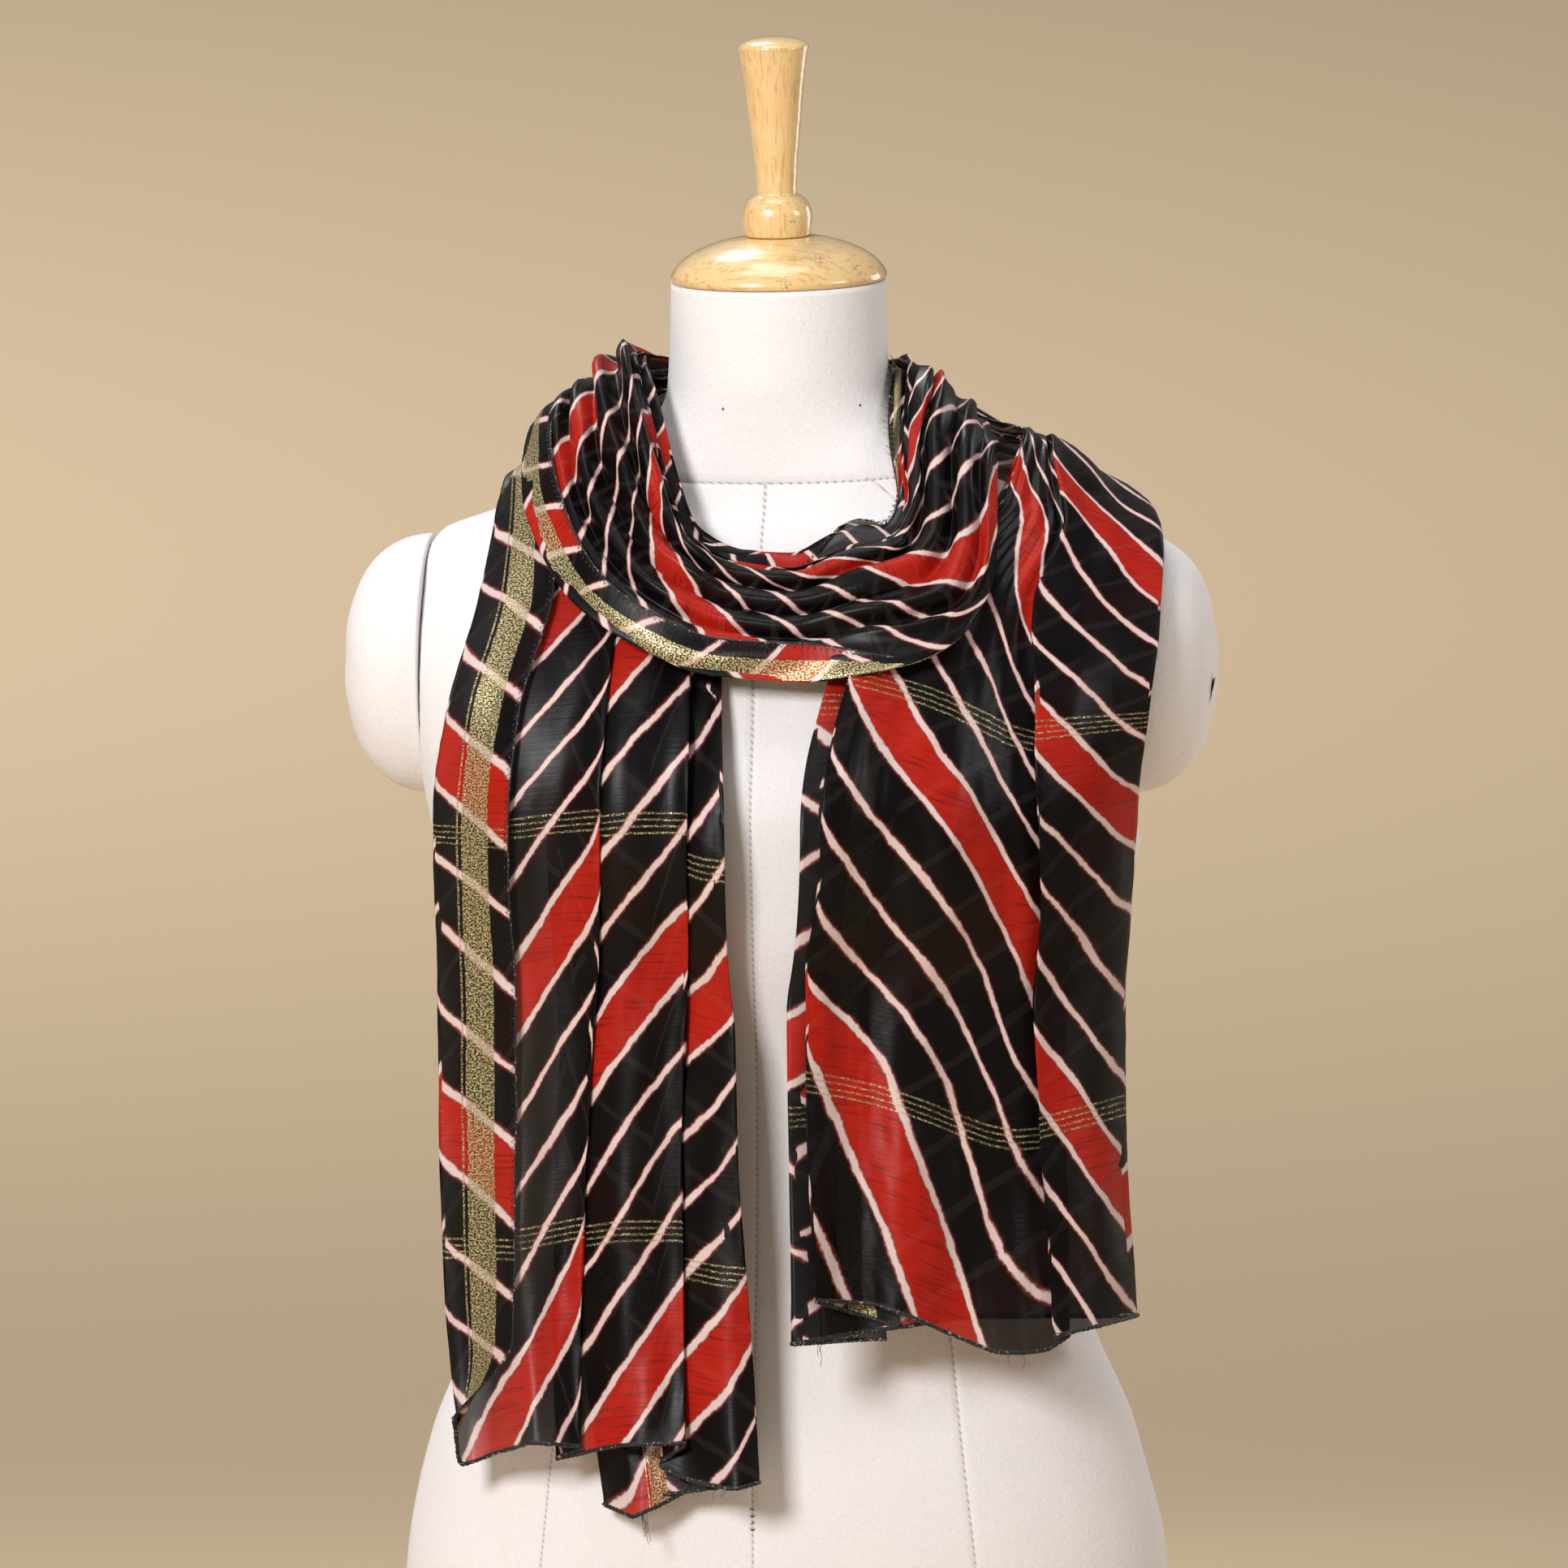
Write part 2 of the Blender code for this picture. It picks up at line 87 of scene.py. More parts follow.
def feed(shader, **sources):
    """Links each output to the shader's input of that name."""
    for socket, source in sources.items():
        shader.id_data.links.new(source, shader.inputs[socket.replace("_", " ")])


def surface_mesh(name, material, grids, closed=True, uvs={}, vectors={}):
    """An object of quads from a grid of points, rows by columns, or from a list of grids.
    closed joins the last column to the first and merges the points that meet at a pole;
    uvs and vectors map a layer's name to two or three numbers for each point."""
    points, quads, start = [], [], 0
    for grid in grids if isinstance(grids, list) else [grids]:
        rows, columns = grid.shape[:2]
        index = start + np.arange(rows * columns).reshape(rows, columns)
        if closed:
            index = np.concatenate([index, index[:, :1]], axis=1)
        quads.append(np.stack([index[:-1, :-1], index[:-1, 1:], index[1:, 1:],
                               index[1:, :-1]], -1).reshape(-1, 4))
        points.append(grid.reshape(-1, 3))
        start += rows * columns
    points, quads = np.concatenate(points), np.concatenate(quads)
    mesh = bpy.data.meshes.new(name)
    mesh.vertices.add(len(points))
    mesh.vertices.foreach_set("co", points.reshape(-1).astype(np.float32))
    mesh.loops.add(quads.size)
    mesh.loops.foreach_set("vertex_index", quads.reshape(-1).astype(np.int32))
    mesh.polygons.add(len(quads))
    mesh.polygons.foreach_set("loop_start", np.arange(0, quads.size, 4, dtype=np.int32))
    mesh.update(calc_edges=True)
    for layer, pairs in uvs.items():
        mesh.uv_layers.new(name=layer)
        flat = pairs.reshape(-1, 2)[quads.reshape(-1)]
        mesh.uv_layers[layer].data.foreach_set("uv", flat.reshape(-1).astype(np.float32))
    for layer, values in vectors.items():
        mesh.attributes.new(layer, "FLOAT_VECTOR", "POINT")
        mesh.attributes[layer].data.foreach_set("vector", values.reshape(-1).astype(np.float32))
    if closed:
        loose = bmesh.new()
        loose.from_mesh(mesh)
        bmesh.ops.remove_doubles(loose, verts=loose.verts, dist=1e-6)
        loose.to_mesh(mesh)
        loose.free()
    mesh.shade_smooth()
    mesh.materials.append(material)
    piece = bpy.data.objects.new(name, mesh)
    bpy.context.scene.collection.objects.link(piece)
    return piece


EYE_HEIGHT = 0.4605              # the camera stands level with the middle of the form
VIEW_WIDE = 0.8192               # what the frame takes in at the form, across
EYE_AWAY = 9.0
SENSOR = 36.0

lens = bpy.data.cameras.new("camera")
lens.sensor_width = SENSOR
lens.lens = SENSOR * EYE_AWAY / VIEW_WIDE
lens.clip_end = 40.0
camera = bpy.data.objects.new("camera", lens)
camera.location = (0.0017, -EYE_AWAY, EYE_HEIGHT)
camera.rotation_euler = (radians(90), 0, 0)
bpy.context.scene.collection.objects.link(camera)
bpy.context.scene.camera = camera
bpy.context.scene.view_settings.view_transform = "Standard"

# the paper: flat under the form, rising behind it at once and on the other sides beyond
# the camera, in very long, gentle curves
PAPER_BEND = 60.0                # radius of the curves
PAPER_FLAT = 14.0                # how far it stays flat to the sides and in front
PAPER_REACH = 48.0


def paper_lift(past):
    """How high a curve of that radius has risen, by the distance past its start."""
    return PAPER_BEND - np.sqrt(PAPER_BEND**2 - np.maximum(past, 0) ** 2)


paper_x = np.linspace(-PAPER_REACH, PAPER_REACH, 49)
paper_y = np.concatenate([np.linspace(-PAPER_REACH, 1.1, 28),
                          1.1 + PAPER_BEND * np.sin(np.linspace(0, 0.6, 60)[1:])])[:, None]
paper_z = (paper_lift(paper_y - 1.1) + paper_lift(-PAPER_FLAT - paper_y)
           + paper_lift(abs(paper_x) - PAPER_FLAT) - 0.0004)
material, node, shader = new_material("matt_backing_paper", Base_Color=linear("#CCB596"),
                                      Roughness=0.95, Specular_IOR_Level=0.1)
paper = surface_mesh("backing_paper", material,
                     np.stack(np.broadcast_arrays(paper_x, paper_y, paper_z), -1), False)

# white lamps: name, place, what it points at, width, height, watts, spread in degrees
for name, place, target, wide, tall, watts, spread in (
        ("key", (-1.9, -3.2, 1.8), (0, 0, 0.45), 1.1, 1.1, 126, 180),
        ("fill", (1.7, -0.8, 1.2), (0, 0, 0.70), 0.5, 0.5, 7.5, 180),
        ("rim", (1.35, 1.0, 0.95), (0, 0, 0.75), 0.5, 0.9, 5.5, 180),
        ("top", (-0.2, -0.4, 3.0), (0, 0, 0.4), 1.4, 1.4, 22, 180),
        ("paper", (-3.5, 10.0, 14.0), (-3.0, 9.5, 0.6), 4.0, 4.0, 590, 100)):
    lamp = bpy.data.lights.new(name, "AREA")
    lamp.shape = "RECTANGLE"
    lamp.size = wide
    lamp.size_y = tall
    lamp.energy = watts
    lamp.spread = radians(spread)
    holder = bpy.data.objects.new(name, lamp)
    holder.location = place
    away = np.array(place) - np.array(target)
    holder.rotation_euler = (np.arctan2(np.hypot(away[0], away[1]), away[2]), 0,
                             np.arctan2(away[0], -away[1]))
    bpy.context.scene.collection.objects.link(holder)
sky = bpy.data.worlds.new("pale_sky")
sky.use_nodes = True
sky.node_tree.nodes["Background"].inputs["Color"].default_value = linear("#FAFAFC")
sky.node_tree.nodes["Background"].inputs["Strength"].default_value = 0.22
bpy.context.scene.world = sky

# ------------------------------------------------------------------------ the torso
# A moulded bust form padded thinly and covered in white cotton cloth, cut in panels that
# meet in a centre-front seam, two princess seams and a seam round the root of the neck.
# It stands turned a little to its own right; its neck leans forward and is cut off flat.
FORM_TURN = radians(-9.0)
NECK_TOP = 0.7235
CAP_TILT = radians(8.0)
LEAN_FROM = 0.66                 # the neck starts to lean at this height
TORSO = np.array([
    # height, half width, front depth, back depth, squareness, shift to the side
    (0.000, 0.2010, 0.110, 0.118, 2.2, 0.003),
    (0.050, 0.2000, 0.111, 0.120, 2.2, 0.003),
    (0.124, 0.1850, 0.106, 0.115, 2.2, 0.002),
    (0.180, 0.1620, 0.098, 0.098, 2.2, 0.002),
    (0.235, 0.1480, 0.092, 0.080, 2.2, 0.002),
    (0.300, 0.1520, 0.098, 0.078, 2.2, 0.003),
    (0.386, 0.1730, 0.120, 0.085, 2.3, 0.004),
    (0.440, 0.1860, 0.126, 0.092, 2.5, 0.004),
    (0.490, 0.1930, 0.112, 0.097, 2.8, 0.003),
    (0.540, 0.1950, 0.088, 0.097, 2.9, 0.000),
    (0.572, 0.1910, 0.070, 0.086, 2.8, 0.000),
    (0.594, 0.1780, 0.060, 0.074, 2.5, 0.000),
    (0.604, 0.1520, 0.054, 0.064, 2.3, 0.000),
    (0.618, 0.1180, 0.051, 0.058, 2.1, 0.000),
    (0.634, 0.0860, 0.051, 0.056, 2.0, -0.001),
    (0.650, 0.0660, 0.052, 0.056, 2.0, -0.001),
    (0.668, 0.0585, 0.054, 0.056, 2.0, -0.001),
    (0.7235, 0.0560, 0.056, 0.056, 2.0, -0.001),
])
ARMHOLE = 0.1830                 # the armholes' flats stand this far to each side
ARM_HEIGHT = 0.5240              # middle of an arm stub
ARM_HALF_TALL = 0.0680
ARM_HALF_DEEP = 0.0560
ARM_REACH = 0.0460
NECK_SEAM = (0.635, 0.36)        # the neck seam's height at the side, its rise to the back
PRINCESS = np.array([
    # height, how far each princess seam lies from the centre line, along the cover
    (0.00, 0.122), (0.16, 0.104), (0.24, 0.094), (0.44, 0.102), (0.56, 0.100), (0.64, 0.034),
])
SEAM_SINK = 0.0007               # the stitching pulls the cover in by this much
STITCH_LONG = 1 / 286            # about 3.5 mm
SEAM_LINES = np.array([-0.0018, -0.0008, 0.0, 0.0008, 0.0018])    # grid lines at a seam


def through(rows, at):
    """A smooth curve through table rows (first column the knots): cubic Hermite pieces
    whose slope at a knot is the harmonic mean of the slopes beside it."""
    knots, values = rows[:, 0], rows[:, 1:]
    step = np.diff(knots)[:, None]
    slope = np.diff(values, axis=0) / step
    before, after = slope[:-1], slope[1:]
    same = before * after > 0
    middle = np.where(same, 2 * before * after / np.where(same, before + after, 1.0), 0.0)
    tangent = np.vstack([slope[:1], middle, slope[-1:]])
    at = np.clip(at, knots[0], knots[-1])
    k = np.clip(np.searchsorted(knots, at, side="right") - 1, 0, len(knots) - 2)
    t = ((at - knots[k]) / step[k, 0])[..., None]
    h = step[k]
    return ((2 * t**3 - 3 * t**2 + 1) * values[k] + (t**3 - 2 * t**2 + t) * h * tangent[k]
            + (3 * t**2 - 2 * t**3) * values[k + 1] + (t**3 - t**2) * h * tangent[k + 1])


def turned(points, angle=FORM_TURN):
    """The points turned about the vertical axis."""
    c, s = cos(angle), sin(angle)
    x, y, z = np.moveaxis(points, -1, 0)
    return np.stack([c * x - s * y, s * x + c * y, z], axis=-1)


def neck_lean(y, z):
    """How much the neck's upper end is raised at the back and lowered at the front."""
    return np.clip((z - LEAN_FROM) / (NECK_TOP - LEAN_FROM), 0.0, 1.0) * y * tan(CAP_TILT)


def in_form(points):
    """Where a point lies in the form: below 1 inside the torso, above 1 outside."""
    x, y, z = np.moveaxis(turned(points, -FORM_TURN), -1, 0)
    half, front, back, square, shift = np.moveaxis(
        through(TORSO, z - neck_lean(y, z)), -1, 0)
    deep = np.where(y < 0, front, back)
    blunt = (np.abs((x - shift) / half) ** square + np.abs(y / deep) ** square) ** (1 / square)
    tall = (z - ARM_HEIGHT) / ARM_HALF_TALL
    out = np.maximum(np.abs(x) - ARMHOLE, 0) / ARM_REACH
    arm = np.sqrt(out**2 + (y / ARM_HALF_DEEP) ** 2 + tall**2)
    blunt = np.where(np.abs(x) > ARMHOLE, np.minimum(arm, 1.2), blunt)
    return np.where(z > NECK_TOP, 9.0, blunt)


def cover_point(height, angle):
    """A point of the cover: the blunt ellipse at that height, at an angle from the front's
    middle, clipped flat at the armholes, the neck's top leaning."""
    half, front, back, square, shift = np.moveaxis(through(TORSO, height), -1, 0)
    c, s = np.sin(angle), -np.cos(angle)
    x = shift + half * np.sign(c) * np.abs(c) ** (2 / square)
    at_arm = np.abs(height - ARM_HEIGHT) < ARM_HALF_TALL + 0.02
    x = np.where(at_arm, np.clip(x, -ARMHOLE, ARMHOLE), x)
    y = np.where(s < 0, front, back) * np.sign(s) * np.abs(s) ** (2 / square)
    return np.stack([x, y, height + neck_lean(y, height)], axis=-1)


def between(start, stop, count):
    """Evenly spaced rows between two rows of numbers, without the two themselves."""
    t = np.linspace(0, 1, count + 2)[1:-1, None]
    return start * (1 - t) + stop * t


def unit(vectors):
    """The vectors at length one."""
    return vectors / np.maximum(np.linalg.norm(vectors, axis=-1, keepdims=True), 1e-12)


def grid_normals(points, closed=False):
    """Unit normals of a grid surface: its column step crossed with its row step."""
    along = np.gradient(points, axis=0)
    across = (np.roll(points, -1, axis=1) - np.roll(points, 1, axis=1) if closed
              else np.gradient(points, axis=1))
    return unit(np.cross(across, along))


def waves(seed, count, low, high, steep):
    """Wave numbers, headings and phases for a soft random relief: count plane waves with
    lengths from low to high metres, their crests within steep of the second direction."""
    draw = np.random.default_rng(seed)
    length = low * (high / low) ** draw.random(count)
    tilt = (draw.random(count) - 0.5) * 2 * steep
    return 2 * pi / length, tilt, draw.random(count) * 2 * pi


def relief(across, along, numbers):
    """The sum of those plane waves at each point, divided by the square root of their
    number, so that its size is about one."""
    total = 0.0
    for number, tilt, phase in zip(*numbers):
        total = total + np.sin(number * (across * cos(tilt) + along * sin(tilt)) + phase)
    return total / np.sqrt(len(numbers[0]))


def bell(distance, spread):
    """A bell curve of a distance."""
    return np.exp(-0.5 * (distance / spread) ** 2)


def cotton_cover(name, with_seams):
    """Bleached cotton calico, glued and sewn over the form: matt white, its plain weave
    seen as a fine pebbled grain with painted shade in its pits, a little grey along the
    seams: painted shade in their sunk groove, more at each needle hole."""
    material, node, shader = new_material(name, Roughness=0.88, Specular_IOR_Level=0.22,
                                          Sheen_Weight=0.06, Sheen_Roughness=0.6)
    place = node("TexCoord", out=3)
    soiled = node("TexNoise", {"Vector": place, "Scale": 11.0, "Detail": 3.0})
    colour = node("Mix", {0: soiled, 6: linear("#F3F2F4"), 7: linear("#EBE6E6")},
                  out=2, data_type="RGBA")
    # the threads are 0.5 mm apart; drawn at 1 mm so that the grain shows
    grain = node("TexNoise", {"Vector": place, "Scale": 900.0, "Detail": 2.0, "Roughness": 0.6})
    coarse = node("TexNoise", {"Vector": place, "Scale": 330.0, "Detail": 1.0})
    bumps = node("Math", (coarse, 0.6), operation="MULTIPLY")
    bumps = node("Math", (grain, 0.7, bumps), operation="MULTIPLY_ADD")
    # painted shade: the weave's pits, low in its bump, are darkened grey
    pit_shade = node("MapRange", (grain, 0.30, 0.52, 0.16, 0.0))
    colour = node("Mix", {0: pit_shade, 6: colour, 7: linear("#B9AFAD")}, out=2, data_type="RGBA")
    if with_seams:
        seams = node("UVMap", uv_map="seams")
        cover = node("UVMap", uv_map="cover")
        off = [node("SeparateXYZ", (source,), out=part)
               for source, part in ((seams, 0), (seams, 1), (cover, 0))]
        above = node("Math", (off[1], 0.0), operation="LESS_THAN")
        above = node("Math", (above, -0.05, 0.05), operation="MULTIPLY_ADD")
        princess, neck, centre = [node("Math", (part,), operation="ABSOLUTE") for part in off]
        centre = node("Math", (centre, above), operation="ADD")
        nearest = node("Math", (princess, neck), operation="MINIMUM")
        nearest = node("Math", (nearest, centre), operation="MINIMUM")
        # a needle hole lies between one stitch and the next
        run = node("VectorMath", (cover, (1.0, 1.0, 0.0)), out=1, operation="DOT_PRODUCT")
        hole = node("Math", (run, 1 / STITCH_LONG), operation="MULTIPLY")
        hole = node("Math", (hole,), operation="FRACT")
        hole = node("MapRange", (hole, 0.55, 0.75, 0.25, 0.85))
        # painted shade: the seams' sunk groove is greyed along its length, more at each needle
        # hole where the stitching is
        line = node("MapRange", (nearest, 0.0002, 0.0009, 1.0, 0.0))
        line = node("Math", (line, hole), operation="MULTIPLY")
        colour = node("Mix", {0: line, 6: colour, 7: linear("#9A918E")}, out=2, data_type="RGBA")
    bump = node("Bump", {"Height": bumps, "Strength": 0.55, "Distance": 0.0006})
    feed(shader, Base_Color=colour, Normal=bump)
    return material


# grid columns gather at the three seams, measured along the cover from the front's middle
dense = np.linspace(0, pi, 900)
body_level = np.linspace(0, 0.575, 168)
level = np.concatenate([body_level, np.linspace(0.577, NECK_TOP, 54)])
ring = cover_point(level[:, None], dense[None, :])
arc = np.concatenate([np.zeros((len(level), 1)), np.cumsum(
    np.linalg.norm(np.diff(ring, axis=1), axis=-1), axis=1)], axis=1)
princess = through(PRINCESS, level)
half_round = np.concatenate([
    SEAM_LINES[2:] + 0 * princess,
    between(SEAM_LINES[-1] + 0 * princess.T, princess.T + SEAM_LINES[0], 42).T,
    princess + SEAM_LINES,
    between(princess.T + SEAM_LINES[-1], arc[:, -1:].T, 136).T], axis=1)
half_angle = np.stack([np.interp(*three) for three in zip(half_round, arc,
                                                         dense + 0 * arc)])
cover_round = np.concatenate([-half_round[:, :0:-1], half_round], axis=1)
cover_angle = np.concatenate([-half_angle[:, :0:-1], half_angle], axis=1)
# grid rows gather at the neck seam, which rises to the back and is found by small steps
neck_angle = cover_angle[-40]    # a row low on the neck
seam_height = NECK_SEAM[0] + 0 * neck_angle
for _ in range(12):
    guess = cover_point(seam_height, neck_angle)
    seam_height = seam_height + 0.7 * (NECK_SEAM[0] + NECK_SEAM[1] * guess[:, 1] - guess[:, 2])
height = np.concatenate([
    body_level[:, None] + 0 * seam_height,
    between(body_level[-1] + 0 * seam_height, seam_height + SEAM_LINES[0], 18),
    seam_height + SEAM_LINES[:, None],
    between(seam_height + SEAM_LINES[-1], NECK_TOP + 0 * seam_height, 30),
    NECK_TOP + 0 * seam_height[None, :]])
local = cover_point(height, cover_angle)
neck_off = local[..., 2] - NECK_SEAM[0] - NECK_SEAM[1] * local[..., 1]
princess_off = np.where(neck_off < 0, np.abs(cover_round) - princess, 0.05)
centre_off = np.where(neck_off < 0, cover_round, 0.05)
# the stitching sinks each seam, and the cloth puckers beside it in ripples of that length
pull = pucker = 0.0
for off, run, ripple in ((centre_off, local[..., 2], 0.0065),
                         (princess_off, local[..., 2], 0.0080),
                         (neck_off, cover_round, 0.0070)):
    pull = pull + bell(off, 0.0008)
    pucker = pucker + bell(off, 0.005) * np.sin(2 * pi * run / ripple)
crease = bell(local[..., 2] - NECK_TOP + 0.012 + 0.10 * local[..., 0], 0.0014) * (
    local[..., 1] < 0) * bell(local[..., 0] + 0.008, 0.02)
slack = relief(cover_round, local[..., 2], waves(5, 6, 0.05, 0.16, 1.5))
local = local + grid_normals(local, True) * (
    -SEAM_SINK * pull + 0.00012 * pucker - 0.0004 * crease + 0.00025 * slack)[..., None]
foot, crown = local[0].mean(axis=0), local[-1].mean(axis=0)
shrink = np.array([0.0, 0.5, 0.9, 0.99])[:, None, None]
local = np.concatenate([foot + (local[0] - foot) * shrink, local,
                        crown + (local[-1] - crown) * shrink[::-1]])
cover_round, princess_off, neck_off = (np.pad(part, ((4, 4), (0, 0)), "edge")
                                       for part in (cover_round, princess_off, neck_off))
torso = surface_mesh(
    "torso_cover", cotton_cover("sewn_cotton_calico", True), turned(local),
    uvs={"cover": np.stack([cover_round, local[..., 2]], -1),
         "seams": np.stack([princess_off, neck_off], -1)})
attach(torso, "root")
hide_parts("torso")

# ------------------------------------------------------------------------ arm stubs
# Two rounded stubs of the same padded cotton, drawn over a wooden plug and sewn to the
# armholes.  The wearer's left one has a short slit in its end with a small wire hook.
SEAT_GAP = 0.0003                # the stubs, the cap and the handle stand off by this much


def arm_point(side, y, z):
    """A point of a stub over a place on its armhole: the blunt end's reach there."""
    w = np.clip(np.hypot(y / ARM_HALF_DEEP, (z - ARM_HEIGHT) / ARM_HALF_TALL), 0, 1)
    reach = ARM_REACH * np.sqrt(np.clip(1 - w**2.5, 0, 1)) ** 0.9
    return np.stack([side * (ARMHOLE + SEAT_GAP + reach), y, z], axis=-1)


def arm_stub(side):
    """Rings from the armhole's middle out to its edge and on to the end: ring w is the
    armhole's ellipse times w."""
    lift = np.concatenate([np.zeros(5), np.linspace(0, pi / 2, 72)])
    wide = np.concatenate([[0, 0.5, 0.9, 0.99, 0.997], np.cos(lift[5:]) ** 0.8])
    angle = np.linspace(0, 2 * pi, 168, endpoint=False) * side
    out = ARM_REACH * np.sin(lift)[:, None] ** 0.9 + 0 * angle
    # the gathers, 5 mm apart at the seam, die out within 15 mm
    gather = np.sin(58 * angle + 2.0 * np.sin(3 * angle)) * bell(out - 0.002, 0.004)
    gather = gather * (lift > 0)[:, None]
    wide = wide[:, None] * (1 + 0.0030 * gather * (lift < 1.2)[:, None])
    y = ARM_HALF_DEEP * wide * np.cos(angle)
    z = ARM_HEIGHT + ARM_HALF_TALL * wide * np.sin(angle)
    puff = relief(y, z, waves(21 + side, 6, 0.02, 0.07, 1.5)) * np.sin(lift)[:, None]
    out = out + 0.0003 * puff
    return np.stack([side * (ARMHOLE + SEAT_GAP + out), y, z], axis=-1)


calico = cotton_cover("stretched_cotton_calico", False)
for name, side in (("arm_stub_left", -1), ("arm_stub_right", 1)):
    stub = surface_mesh(name, calico, turned(arm_stub(side)))
    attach(stub, "root")
    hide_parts(name.replace("stub", "cap"))


def swept(path, radius, sides=8, facing=(0.0, 1.0, 0.0)):
    """A tube along a path: at each point a ring of that radius, square to the path, the
    two ends drawn to a point.  facing is a direction across the path to measure from."""
    tangent = unit(np.gradient(path, axis=0))
    first = unit(facing - np.sum(facing * tangent, axis=-1, keepdims=True) * tangent)
    second = np.cross(tangent, first)
    angle = np.linspace(0, 2 * pi, sides, endpoint=False)[None, :, None]
    radius = np.broadcast_to(radius, len(path))[:, None, None]
    rings = path[:, None] + radius * (np.cos(angle) * first[:, None]
                                      + np.sin(angle) * second[:, None])
    return np.concatenate([path[:1, None] + 0 * rings[:1], rings,
                           path[-1:, None] + 0 * rings[-1:]])


SLIT = (-0.0120, 0.5100)         # the slit's middle on the end of the stub, y and z
SLIT_HALF = (0.0021, 0.0078)     # half its width and half its length
turn = np.linspace(0, 2 * pi, 61)
mouth_y = SLIT[0] + SLIT_HALF[0] * np.cos(turn) * (0.35 + 0.65 * np.abs(np.cos(turn)))
mouth_z = SLIT[1] + SLIT_HALF[1] * np.sin(turn)
lip_path = arm_point(1, mouth_y, mouth_z) + np.array([0.00005, 0, 0])
lip = surface_mesh("slit_turned_edge", calico, swept(turned(lip_path), 0.00045, 8))
fill = np.linspace(0, 1, 6)[:, None]
inner_y = SLIT[0] + (mouth_y - SLIT[0]) * fill
inner_z = SLIT[1] + (mouth_z - SLIT[1]) * fill
# painted shade: a near-black sheet just inside the slit's mouth stands in for the shade in the
# slit
material, node, shader = new_material("painted_slit_shade", Base_Color=linear("#15110F"),
                                      Roughness=0.95)
inside = surface_mesh("slit_inside", material, turned(
    arm_point(1, inner_y, inner_z)[:, :-1] + np.array([0.00025, 0, 0])))
hook_turn = np.linspace(-0.2 * pi, 1.15 * pi, 24)
hook_path = arm_point(1, SLIT[0] + 0.0006 + 0.0009 * np.cos(hook_turn),
                      SLIT[1] + 0.0010 + 0.0046 * np.sin(hook_turn))
hook_path = hook_path + np.stack([0.0006 + 0.0007 * np.sin(hook_turn), 0 * hook_turn,
                                  0 * hook_turn], -1)
material, node, shader = new_material("japanned_steel_wire", Base_Color=linear("#1A1A1C"),
                                      Metallic=0.4, Roughness=0.35)
hook = surface_mesh("slit_hook", material, swept(turned(hook_path), 0.00032, 6))
for piece in (lip, inside, hook):
    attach(piece, "root")

# ------------------------------------------------------------------- mending and pins
# Someone has mended the centre-front seam near the hem with dark thread and left its end
# hanging, and two steel pins stand in the neck.
MEND_LOW = 0.0745                # height of the lowest stitch
MEND_STEP = 0.0022


def on_cover(way_round, at_height):
    """A place on the cover, from its way round and its height: the grid's nearest row and
    column, looked up on the finished surface."""
    row = np.argmin(np.abs(local[4:-4, local.shape[1] // 2, 2] - at_height)) + 4
    column = np.argmin(np.abs(cover_round[row] - way_round))
    return local[row, column]


mends = []
for i in range(6):
    middle = on_cover(0.0, MEND_LOW + MEND_STEP * i)
    t = np.linspace(-1, 1, 9)[:, None]
    slant = 0.0008 * (-1) ** i
    mends.append(swept(middle + np.array([0.0016, 0, slant]) * t
                       + np.array([0.0006 * (-1) ** i, -0.0005, 0]) * (1 - t**2)
                       + np.array([0.0, 0.0001, 0.0]), 0.00028, 6))
tail = np.linspace(0, 1, 24)[:, None]
start = on_cover(0.0, MEND_LOW)
mends.append(swept(start + np.array([0.0002, -0.0004, -0.0280]) * tail
                   + np.array([0.0045, -0.0006, 0.0]) * np.sin(2.6 * tail**3), 0.00016, 6))
material, node, shader = new_material("waxed_linen_thread", Base_Color=linear("#3A2A22"),
                                      Roughness=0.7)
twist = node("TexNoise", {"Vector": node("TexCoord", out=3), "Scale": 1500.0, "Detail": 1.0})
feed(shader, Base_Color=node("Mix", {0: twist, 6: linear("#221712"), 7: linear("#6A503F")},
                             out=2, data_type="RGBA"))
mend = surface_mesh("mending_thread", material, [turned(m) for m in mends])
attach(mend, "root")

PINS = ((0.6555, -20.0), (0.6575, 50.8))     # height, degrees round from the front's middle
pins = []
for pin_height, pin_angle in PINS:
    spot = cover_point(np.array(pin_height), np.array(radians(pin_angle)))
    out = np.array([sin(radians(pin_angle)), -cos(radians(pin_angle)), 0.0])
    aside = np.array([out[1], -out[0], 0.0])
    lift = np.linspace(0, pi, 8)[:, None, None]
    around = np.linspace(0, 2 * pi, 12, endpoint=False)[None, :, None]
    pins.append(spot + 0.0004 * out * (1 - np.cos(lift)) * 0.5
                + 0.00075 * np.sin(lift) * (aside * np.cos(around)
                                            + np.array([0, 0, 1.0]) * np.sin(around)))
material, node, shader = new_material("tarnished_steel", Base_Color=linear("#6E6762"),
                                      Metallic=0.9, Roughness=0.45)
pin = surface_mesh("pin_heads", material, [turned(p) for p in pins])
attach(pin, "root")

